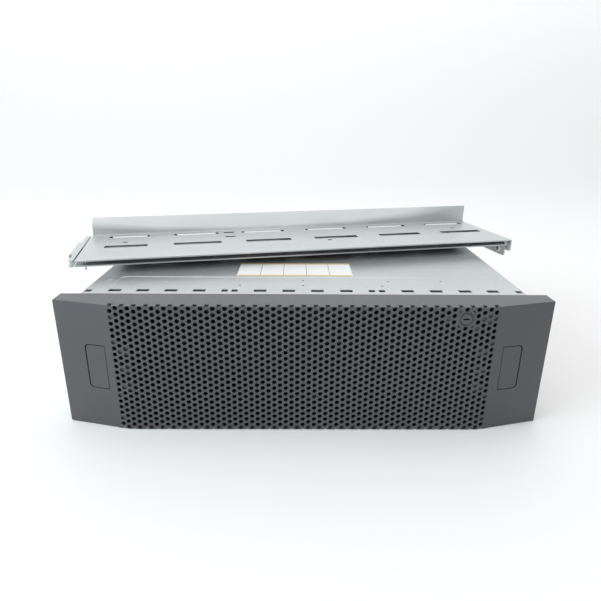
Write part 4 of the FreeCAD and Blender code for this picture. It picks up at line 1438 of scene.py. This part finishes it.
diskLook = {
    "size": (25.4, 147.0, 101.6),
    "front": 6.0,
    "room": 7.1,
    "corner": 2.0,
    "lid": 0.8,
    "lidInset": (3.0, 12.0),        # from the near and side edges, and from the far edge
    "lidCorners": (16.0, 22.0, 22.0, 16.0),
    "spindle": 0.42,                # its place along the disk, as a share
    "ring": 17.0,
    "cap": 15.5,
    "capSink": 0.3,
    "screw": 2.2,
    "screwSlot": 0.3,
    "lidScrews": ((10, 10), (10, 91), (72, 6), (72, 95), (128, 10), (128, 91)),
    "lidScrewRise": 0.25,
    "sideScrews": (28, 70, 130),
    "sideScrewInset": 6.0,
    "sideScrewRise": 0.35,
    "sideScrewSink": 0.1,
}


def addDisk(bm, wallX, start, floor, side, values):
    # a cast case with a raised lid and its screws, fixed to the carrier's side
    thick, long, tall = values["size"]
    near = start + values["front"]
    left = wallX + side
    base = floor + values["room"]
    lid, radius, slot = values["lid"], values["screw"], values["screwSlot"]
    addPlate(bm, roundRect((near, base), (near + long, base + tall), values["corner"]), [],
             lambda y, z, depth: (left + depth, y, z), thick - lid)
    inset, far = values["lidInset"]
    outline = roundRect((near + inset, base + inset), (near + long - far, base + tall - inset),
                        values["lidCorners"], steps=6)
    spindle = (near + long * values["spindle"], base + tall / 2)
    addPlate(bm, outline, [circle(*spindle, values["ring"], sides=32)],
             lambda y, z, depth: (left + thick - lid + depth, y, z), lid)
    addPlate(bm, circle(*spindle, values["cap"], sides=32), [],
             lambda y, z, depth: (left + thick - lid - values["capSink"] + depth, y, z), lid)
    rise = values["lidScrewRise"]
    for y, z in values["lidScrews"]:
        screwHead(bm, (left + thick - rise, near + y, base + z), (1, 0, 0), radius, rise, slot)
    inset = values["sideScrewInset"]
    for y in values["sideScrews"]:
        for z in (base + inset, base + tall - inset):
            screwHead(bm, (wallX + values["sideScrewSink"], near + y, z), (-1, 0, 0), radius,
                      values["sideScrewRise"], slot)


def drawFascia(front, values):
    low, high = boxOf("drive_carrier_" + values["pattern"])
    inset = values["inset"]
    size = values["ventSize"]
    holes = []
    for row in range(values["ventCount"]):
        step = (row - (values["ventCount"] - 1) / 2) * values["ventPitch"]
        z = high.z - values["ventTop"] + step + values["ventShift"]
        holes.append(centredRect(0.0, z, size, size[1] / 2 - values["ventSquare"]))
    holes += [circle(x, z, values["lens"]) for x, z in values["lensPlaces"]]
    bm = bmesh.new()
    outline = roundRect((low.x + inset, low.z + inset), (high.x - inset, high.z - inset),
                        values["fasciaCorner"])
    addPlate(bm, outline, holes, facing(front), values["fascia"])
    return bm


def drawLens(front, index, values):
    x, z = values["lensPlaces"][index]
    r = values["lens"] - values["lensRoom"]
    base, rise = values["fascia"], values["lensRise"]
    inwards, upwards = values["lensShoulder"]
    profile = [(0.0, 0.0), (r, 0.0), (r, base), (r * inwards, base + rise * upwards), (0.0, base + rise)]
    bm = bmesh.new()
    addTurned(bm, profile, (x, front + base, z), (0, -1, 0), sides=16)
    return bm


linkLook = {
    "thick": 1.6,
    "along": (-15.5, 1.0),          # from the carrier's tail
    "heights": (34.0, 97.0),
    "corner": 1.5,
    "holes": (37.5, 93.5),
    "holeInset": 4.0,
    "holeRadius": 1.6,
    "plugs": ((48.0, 9.0), (62.0, 6.0), (74.0, 12.0)),      # height and length
    "plugAlong": (-12.0, -5.0),
    "plugCorner": 0.5,
    "plugThick": 1.5,
    "plugSink": 0.1,
}


def drawLink(end, values):
    # a small board behind the disk with its connectors
    bm = bmesh.new()
    half = values["thick"] / 2
    near, far = (end + along for along in values["along"])
    low, high = values["heights"]
    holes = [circle(end - values["holeInset"], z, values["holeRadius"], sides=12) for z in values["holes"]]
    addPlate(bm, roundRect((near, low), (far, high), values["corner"]), holes,
             lambda y, z, depth: (depth - half, y, z), values["thick"])
    near, far = (end + along for along in values["plugAlong"])
    for z, tall in values["plugs"]:
        addPlate(bm, roundRect((near, z), (far, z + tall), values["plugCorner"], steps=2), [],
                 lambda y, b, depth: (half + depth - values["plugSink"], y, b), values["plugThick"])
    return bm


leverLook = {
    "halfThick": 1.5,
    "pinRoom": 0.08,
    "ribs": 6,
    "ribTop": 4.0,
    "ribPitch": 2.4,
    "ribSize": (16.0, 1.1),
    "ribCorner": 0.5,
    "ribRise": 0.45,
    "panel": (7.5, 26.0, 74.0),     # half width, bottom and top
    "panelCorners": (2.0, 1.2),
    "panelBand": 1.0,
    "panelRise": 0.3,
    "root": 0.2,
    "grip": 12.0,
    "gripCut": 1.4,
    "edge": 0.5,
}


def drawLever(values):
    low, high = boxOf("drive_lever_" + driveLook["pattern"])
    pivotY, pivotZ = driveLook["pivot"]
    r = driveLook["knuckle"]
    top = high.z
    front = pivotY - values["halfThick"]
    back = pivotY + values["halfThick"]
    grip, cut, root = values["grip"], values["gripCut"], values["root"]
    profile = [(front, top), (front, pivotZ + r)] + bendPoints((pivotY, pivotZ), r, 180, 360, 10)
    profile += [(back, pivotZ + r), (back, top - grip), (back - cut, top - grip + cut), (back - cut, top)]
    bm = bmesh.new()
    addPlate(bm, profile, [circle(pivotY, pivotZ, driveLook["pin"] + values["pinRoom"])],
             lambda y, z, x: (low.x + x, y, z), high.x - low.x)
    rise = values["ribRise"]
    for rib in range(values["ribs"]):
        z = top - values["ribTop"] - rib * values["ribPitch"]
        addPlate(bm, centredRect(0.0, z, values["ribSize"], values["ribCorner"]), [], facing(front - rise),
                 rise + root)
    half, bottom, crown = values["panel"]
    band, rise = values["panelBand"], values["panelRise"]
    outer, inner = values["panelCorners"]
    addPlate(bm, roundRect((-half, bottom), (half, crown), outer),
             [roundRect((-half + band, bottom + band), (half - band, crown - band), inner)],
             facing(front - rise), rise + root)
    return bm


def buildDrives(values):
    front = carrierFront(values)
    end = boxOf("drive_carrier_" + values["pattern"])[1].y - values["tail"]
    dark = finishes["lever_plastic"]
    carrier = makeMesh("driveCarrier", drawCarrier(front, end, values), finishes["carrier_metal"])
    fascia = makeMesh("driveFascia", drawFascia(front, values), dark)
    green = makeMesh("driveLensGreen", drawLens(front, 0, values), lensGreen)
    amber = makeMesh("driveLensAmber", drawLens(front, 1, values), lensAmber)
    link = makeMesh("driveLink", drawLink(end, linkLook), finishes["board_green"])
    lever = makeMesh("driveLever", drawLever(leverLook), dark)
    origin = bayMiddle(values["pattern"])
    for number in range(1, values["count"] + 1):
        tag = "%02d" % number
        shift = (bayMiddle(tag) - origin, 0, 0)
        body = "drive_" + tag
        piece = placePiece("carrier_" + tag, carrier, body, shift)
        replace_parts(piece, "drive_carrier_" + tag)
        soften(placePiece("fascia_" + tag, fascia, body, shift), values["fasciaEdge"])
        placePiece("lensGreen_" + tag, green, body, shift)
        placePiece("lensAmber_" + tag, amber, body, shift)
        placePiece("link_" + tag, link, body, shift)
        piece = placePiece("lever_" + tag, lever, "lever_" + tag, shift)
        soften(piece, leverLook["edge"])
        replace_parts(piece, "drive_lever_" + tag)


buildDrives(driveLook)
print("drives set in their bays")


# Midplane: sockets with contact tongues on both sides of the board, and its parts
midplaneLook = {
    "wall": 1.4,
    "corner": 0.8,
    "mouthCorner": 0.4,
    "floor": 0.8,
    "tongue": 1.6,
    "tongueCorner": 0.3,
    "tongueStart": 0.5,
    "tongueTrim": 1.0,
    "driveSocket": (8.0, 42.0),
    "moduleSocket": (70.0, 9.0),
    "modules": ("power_case_a", "link_card_a", "link_card_b", "power_case_b"),
    "chips": ((-96.0, 30.0, 12.0), (-40.0, 110.0, 9.0), (52.0, 24.0, 14.0), (118.0, 108.0, 10.0)),
    "chipCorner": 0.4,
    "chipSink": 0.05,
    "chipThick": 1.2,
    "edge": 0.15,
}


def addSocket(bm, x, z, size, start, end, values):
    # start is the board's side; the socket opens at end
    wall, rise = values["wall"], values["tongueStart"]
    way = 1 if end > start else -1

    def place(a, b, depth):
        return (a, start + way * depth, b)

    inner = centredRect(x, z, size, values["mouthCorner"], steps=2, grow=-wall)
    addPlate(bm, centredRect(x, z, size, values["corner"], steps=2), [inner], place, abs(end - start))
    addPlate(bm, inner, [], place, values["floor"])
    tongue = [values["tongue"] if side == min(size) else side - 4 * wall for side in size]
    addPlate(bm, centredRect(x, z, tongue, values["tongueCorner"], steps=2), [],
             lambda a, b, depth: place(a, b, rise + depth), abs(end - start) - values["tongueTrim"])


def middleHeight(node):
    low, high = boxOf(node)
    return (low.z + high.z) / 2


def buildMidplane(values):
    low, high = boxOf("midplane_board")
    plugLow, plugHigh = boxOf("midplane_plugs")
    bm = bmesh.new()
    for number in range(1, driveLook["count"] + 1):
        tag = "%02d" % number
        addSocket(bm, bayMiddle(tag), middleHeight("drive_carrier_" + tag), values["driveSocket"],
                  low.y, plugLow.y, values)
    for name in values["modules"]:
        addSocket(bm, 0.0, middleHeight(name), values["moduleSocket"], high.y, plugHigh.y, values)
    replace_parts(finishPiece("midplaneSockets", bm, "chassis", "plug_black"), "midplane_plugs")
    bm = bmesh.new()
    for x, z, size in values["chips"]:
        addPlate(bm, centredRect(x, z, (size, size), values["chipCorner"], steps=2), [],
                 facing(high.y - values["chipSink"]), values["chipThick"])
    finishPiece("midplaneChips", bm, "chassis", "plug_black")
    soften(frame["nodes"]["midplane_board"], values["edge"])


buildMidplane(midplaneLook)
print("midplane fitted")


# Rear modules: inlets, port cages, lamps, thumbscrews and blower wheels
knobLook = {
    "radius": 4.6,
    "length": 7.5,
    "flutes": 18,
    "fluteDepth": 0.35,
    "gap": 1.2,
    "trim": 2.0,                # what the neck and the head take of its length
    "neck": (0.7, -0.2, 1.4),   # share of the radius, start and end
    "head": (0.8, 0.7, 0.6),    # share of the radius, rise and recess
    "headSink": 0.9,
}
lampLook = {
    "radius": 1.1,
    "profile": ((0.0, -0.4), (1.0, -0.4), (1.0, 0.25), (0.7, 0.6), (0.0, 0.75)),    # radius share and rise
}


def addKnob(bm, x, y, z, values):
    # a fluted thumbscrew with a driver recess
    flutes, radius = values["flutes"], values["radius"]
    outline = []
    for k in range(flutes * 2):
        turn = math.pi * k / flutes
        reach = radius - (values["fluteDepth"] if k % 2 else 0.0)
        outline.append((x + reach * math.cos(turn), z + reach * math.sin(turn)))
    addPlate(bm, outline, [], facing(y + values["gap"]), values["length"] - values["trim"])
    share, start, end = values["neck"]
    neck = radius * share
    addTurned(bm, [(0.0, start), (neck, start), (neck, end), (0.0, end)], (x, y, z), (0, 1, 0), sides=20)
    share, rise, recess = values["head"]
    screwHead(bm, (x, y + values["length"] - values["headSink"], z), (0, 1, 0), radius * share, rise, recess)


def addLamp(bm, x, y, z, values):
    profile = [(values["radius"] * share, rise) for share, rise in values["profile"]]
    addTurned(bm, profile, (x, y, z), (0, 1, 0), sides=16)


def rearFace(node, reach):
    # how far back the module's ends come, to 0.01 mm
    side = boxOf(node)[1].x - reach
    verts = frame["nodes"][node].data.vertices
    return max(round(vert.co.y / mm, 2) for vert in verts if abs(vert.co.x / mm) > side)


powerLook = {
    "edge": 0.4,
    "bailEdge": (1.1, 40.0, 3),
    "endReach": 8.0,
    "inletX": -168.0,
    "inletSize": (27.6, 20.4),
    "inletDepth": 15.0,
    "inletRoom": 0.05,
    "inletCorner": 0.5,
    "inletEdge": 0.25,
    "lining": 1.0,
    "mouthCorners": (5.0, 5.0, 1.0, 1.0),
    "floor": (0.1, 1.0),                    # start and thickness
    "flangeSize": (43.6, 27.2),
    "flangeCorner": 3.0,
    "flangeThick": 1.6,
    "flangeHole": 1.4,
    "screwReach": 19.065,
    "screwRise": 0.9,
    "screw": (1.35, 0.6, 0.4),              # radius, rise and recess
    "pins": ((-7.0, -2.0), (7.0, -2.0), (0.0, 3.2)),
    "pinSize": (2.0, 4.0),
    "pinCorner": 0.4,
    "pinStart": 1.0,
    "pinLength": 9.0,
    "frameSize": (96.0, 31.0),
    "frameBand": 1.5,
    "frameCorners": (4.0, 3.0),
    "frameSink": 0.1,
    "frameThick": 0.7,
    "frameEdge": 0.2,
    "knobs": (-208.0, 208.0),
    "knobHeight": 9.0,
    "lamps": (("powerLamp_", lensGreen, -128.0), ("powerFault_", lensAmber, -123.0)),
    "lampDrop": 10.0,
}


def addInlet(letter, body, panel, z, values):
    x, size, back = values["inletX"], values["inletSize"], panel - values["inletDepth"]
    screws = [x + side * values["screwReach"] for side in (-1, 1)]
    mouth = centredRect(x, z, size, values["mouthCorners"], steps=3, grow=-values["lining"])
    bm = bmesh.new()
    holes = [mouth] + [circle(across, z, values["flangeHole"]) for across in screws]
    flange = centredRect(x, z, values["flangeSize"], values["flangeCorner"], steps=4)
    addPlate(bm, flange, holes, facing(panel), values["flangeThick"])
    bore = centredRect(x, z, size, values["inletCorner"], steps=3, grow=-values["inletRoom"])
    addPlate(bm, bore, [mouth], facing(back), values["inletDepth"])
    start, thick = values["floor"]
    addPlate(bm, mouth, [], facing(back + start), thick)
    soften(finishPiece("inlet_" + letter, bm, body, "plug_black"), values["inletEdge"])
    bm = bmesh.new()
    for across, up in values["pins"]:
        addPlate(bm, centredRect(x + across, z + up, values["pinSize"], values["pinCorner"], steps=2), [],
                 facing(back + values["pinStart"]), values["pinLength"])
    for across in screws:
        screwHead(bm, (across, panel + values["screwRise"], z), (0, 1, 0), *values["screw"])
    finishPiece("inletPins_" + letter, bm, body, "pin_steel")


def buildPower(letter, values):
    node = "power_case_" + letter
    body = "power_" + letter
    low, high = boxOf(node)
    panel = rearFace(node, values["endReach"])
    z = (low.z + high.z) / 2
    soften(frame["nodes"][node], values["edge"])
    soften(frame["nodes"]["power_bail_" + letter], *values["bailEdge"])
    addInlet(letter, body, panel, z, values)

    # a pressed frame round the vents, then thumbscrews and lamps
    rotorLow, rotorHigh = boxOf("blower_rotor_" + letter)
    centre = (rotorLow.x + rotorHigh.x) / 2
    size, corners = values["frameSize"], values["frameCorners"]
    bm = bmesh.new()
    addPlate(bm, centredRect(centre, z, size, corners[0], steps=4, grow=values["frameBand"]),
             [centredRect(centre, z, size, corners[1], steps=4)], facing(panel - values["frameSink"]),
             values["frameThick"])
    soften(finishPiece("ventFrame_" + letter, bm, body, "module_steel"), values["frameEdge"])
    bm = bmesh.new()
    for x in values["knobs"]:
        addKnob(bm, x, panel, low.z + values["knobHeight"], knobLook)
    finishPiece("powerKnobs_" + letter, bm, body, "pin_steel")
    for name, finish, x in values["lamps"]:
        bm = bmesh.new()
        addLamp(bm, x, panel, high.z - values["lampDrop"], lampLook)
        finishPiece(name + letter, bm, body, "module_steel", finish)


cardLook = {
    "edge": 0.3,
    "ejectorEdge": (0.8, 40.0, 3),
    "endReach": 2.0,
    "ports": (-150.0, -118.0, -30.0, 2.0),
    "portSize": (16.0, 10.5),
    "portDepth": 13.0,
    "portRoom": 0.05,
    "portCorner": 0.4,
    "wall": 0.4,
    "mouthCorner": 0.5,
    "rim": 1.1,
    "rimCorner": 0.8,
    "rimThick": 1.0,
    "springs": (-0.28, 0.28),               # shares of the port's width
    "springSize": (2.4, 5.0),
    "springCorner": 0.5,
    "springTip": 0.9,
    "springInset": 0.5,
    "springThick": 0.35,
    "backInset": 0.5,
    "back": (0.1, 1.5),                     # start and thickness
    "coreSize": (11.0, 2.2),
    "coreCorner": 0.3,
    "core": (1.5, 6.0),                     # start and length
    "lampGap": 4.0,
    "lampRise": 2.6,
    "knob": -208.0,
}


def addCage(bm, x, z, panel, values):
    # a port's rim, its walls and two pairs of contact springs
    size, room, deep = values["portSize"], values["portRoom"], values["portDepth"]
    wide, tall = size
    mouth = centredRect(x, z, size, values["mouthCorner"], steps=2, grow=-values["wall"])
    rim = centredRect(x, z, size, values["rimCorner"], steps=2, grow=values["rim"])
    addPlate(bm, rim, [mouth], facing(panel - room), values["rimThick"])
    bore = centredRect(x, z, size, values["portCorner"], steps=2, grow=-room)
    addPlate(bm, bore, [mouth], facing(panel - deep), deep - room)
    tip = panel + values["springTip"]
    top = tall / 2 - values["springInset"]
    for side in (-1, 1):
        for share in values["springs"]:
            spring = centredRect(x + share * wide, values["springSize"][1] / 2, values["springSize"],
                                 values["springCorner"], steps=2)
            addPlate(bm, spring, [], lambda a, b, depth: (a, tip - b, z + side * (top - depth)),
                     values["springThick"])


def buildCard(letter, values):
    node = "link_card_" + letter
    body = "card_" + letter
    panel = rearFace(node, values["endReach"])
    z = middleHeight(node)
    soften(frame["nodes"][node], values["edge"])
    soften(frame["nodes"]["card_ejector_" + letter], *values["ejectorEdge"])
    size, back, corner = values["portSize"], panel - values["portDepth"], values["coreCorner"]
    cages = bmesh.new()
    cores = bmesh.new()
    lamps = bmesh.new()
    for x in values["ports"]:
        addCage(cages, x, z, panel, values)
        floor = centredRect(x, z, size, corner, steps=2, grow=-values["backInset"])
        core = centredRect(x, z, values["coreSize"], corner, steps=2)
        for outline, (start, thick) in ((floor, values["back"]), (core, values["core"])):
            addPlate(cores, outline, [], facing(back + start), thick)
        for way in (-1, 1):
            addLamp(lamps, x + size[0] / 2 + values["lampGap"], panel, z + way * values["lampRise"], lampLook)
    finishPiece("cages_" + letter, cages, body, "module_steel")
    finishPiece("cageCores_" + letter, cores, body, "plug_black")
    finishPiece("cardLamps_" + letter, lamps, body, "module_steel", lensGreen)
    bm = bmesh.new()
    addKnob(bm, values["knob"], panel, z, knobLook)
    finishPiece("cardKnob_" + letter, bm, body, "pin_steel")


blowerLook = {
    "sides": 40,
    "blades": 28,
    "bladeSteps": 4,
    "bladeInset": 0.6,
    "bladeReach": 14.0,
    "bladeTurn": 22.0,
    "bladeThick": 1.0,
    "bladeLean": 0.2,
    "bladeRoot": 0.2,
    "disc": 1.6,
    "ring": 5.0,
    "hub": 19.0,
    "hubShoulder": 0.8,         # where its taper starts, as a share of the height
    "hubTaper": 4.0,
    "bore": 4.05,
}


def bladeOutline(base, tip, values):
    # one curved blade, out along its near face and back along its far one
    near, far = [], []
    for step in range(values["bladeSteps"] + 1):
        share = step / values["bladeSteps"]
        r = tip - values["bladeReach"] * (1 - share)
        turn = base + math.radians(values["bladeTurn"]) * share ** 2
        past = turn + values["bladeThick"] / r
        inner = r - values["bladeLean"]
        near.append((r * math.cos(turn), r * math.sin(turn)))
        far.append((inner * math.cos(past), inner * math.sin(past)))
    return near + far[::-1]


def buildBlower(letter, values):
    # a forward-curved wheel between a back disc and a front ring
    node = "blower_rotor_" + letter
    low, high = boxOf(node)
    x, y = (low.x + high.x) / 2, (low.y + high.y) / 2
    radius = min(high.x - low.x, high.y - low.y) / 2
    tall = high.z - low.z
    disc, hub, bore = values["disc"], values["hub"], values["bore"]
    inner = radius - values["ring"]
    wheel = [(bore, 0.0), (radius, 0.0), (radius, disc), (hub, disc), (hub, tall * values["hubShoulder"]),
             (hub - values["hubTaper"], tall), (bore, tall), (bore, 0.0)]
    ring = [(inner, tall - disc), (radius, tall - disc), (radius, tall), (inner, tall), (inner, tall - disc)]
    bm = bmesh.new()
    for profile in (wheel, ring):
        addTurned(bm, profile, (x, y, low.z), (0, 0, 1), values["sides"])
    root = disc - values["bladeRoot"]
    for blade in range(values["blades"]):
        outline = bladeOutline(2 * math.pi * blade / values["blades"], radius - values["bladeInset"], values)
        addRun(bm, outline, low.z + root, high.z - root, lambda a, b, z: (x + a, y + b, z))
    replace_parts(finishPiece("blowerWheel_" + letter, bm, "blower_" + letter, "blower_plastic"), node)


for letter in ("a", "b"):
    buildPower(letter, powerLook)
    buildCard(letter, cardLook)
    buildBlower(letter, blowerLook)
print("rear modules fitted")


# Chassis: rivets and screws along its sides, ears and shelves
chassisLook = {
    "rivet": 2.3,
    "rivetRise": 0.5,
    "rivetDome": ((1.0, 0.4), (0.7, 0.85), (0.0, 1.0)),     # shares of the radius and the rise
    "sink": 0.1,
    "sideRows": (18.0, 66.0, 116.0),
    "sideColumns": (-120.0, -60.0, 20.0, 90.0, 160.0),
    "earThick": 2.0,
    "earInset": 12.0,
    "earScrews": (30.0, 66.0, 102.0),
    "earScrew": (3.2, 1.0, 0.7),                            # radius, rise and recess
    "coverScrews": ((-205.0, 165.0), (-70.0, 165.0), (70.0, 165.0), (205.0, 165.0)),
    "coverScrew": (2.9, 0.8, 0.6),
    "edges": (("chassis_tray", 0.35), ("left_ear", 0.3), ("right_ear", 0.3), ("module_shelves", 0.2),
              ("upper_guides", 0.3), ("lower_guides", 0.3), ("latch_pins", 0.2)),
}


def buildChassis(values):
    low, high = boxOf("chassis_tray")
    coverTop = boxOf("top_cover")[1].z
    sink = values["sink"]
    sides = ((-1, low.x, "left_ear"), (1, high.x, "right_ear"))
    profile = [(values["rivet"], -sink)]
    profile += [(values["rivet"] * a, values["rivetRise"] * b) for a, b in values["rivetDome"]]
    bm = bmesh.new()
    for side, x, ear in sides:
        for y in values["sideColumns"]:
            for z in values["sideRows"]:
                addTurned(bm, profile, (x, y, z), (side, 0, 0), sides=16)
    finishPiece("sideRivets", bm, "chassis", "galvanised_steel")
    bm = bmesh.new()
    for side, x, ear in sides:
        face = x + side * (values["earThick"] - sink)
        back = boxOf(ear)[1].y - values["earInset"]
        for z in values["earScrews"]:
            screwHead(bm, (face, back, z), (side, 0, 0), *values["earScrew"])
    for x, y in values["coverScrews"]:
        screwHead(bm, (x, y, coverTop - sink), (0, 0, 1), *values["coverScrew"])
    finishPiece("caseScrews", bm, "chassis", "pin_steel")
    for node, width in values["edges"]:
        soften(frame["nodes"][node], width)


buildChassis(chassisLook)
print("chassis riveted")
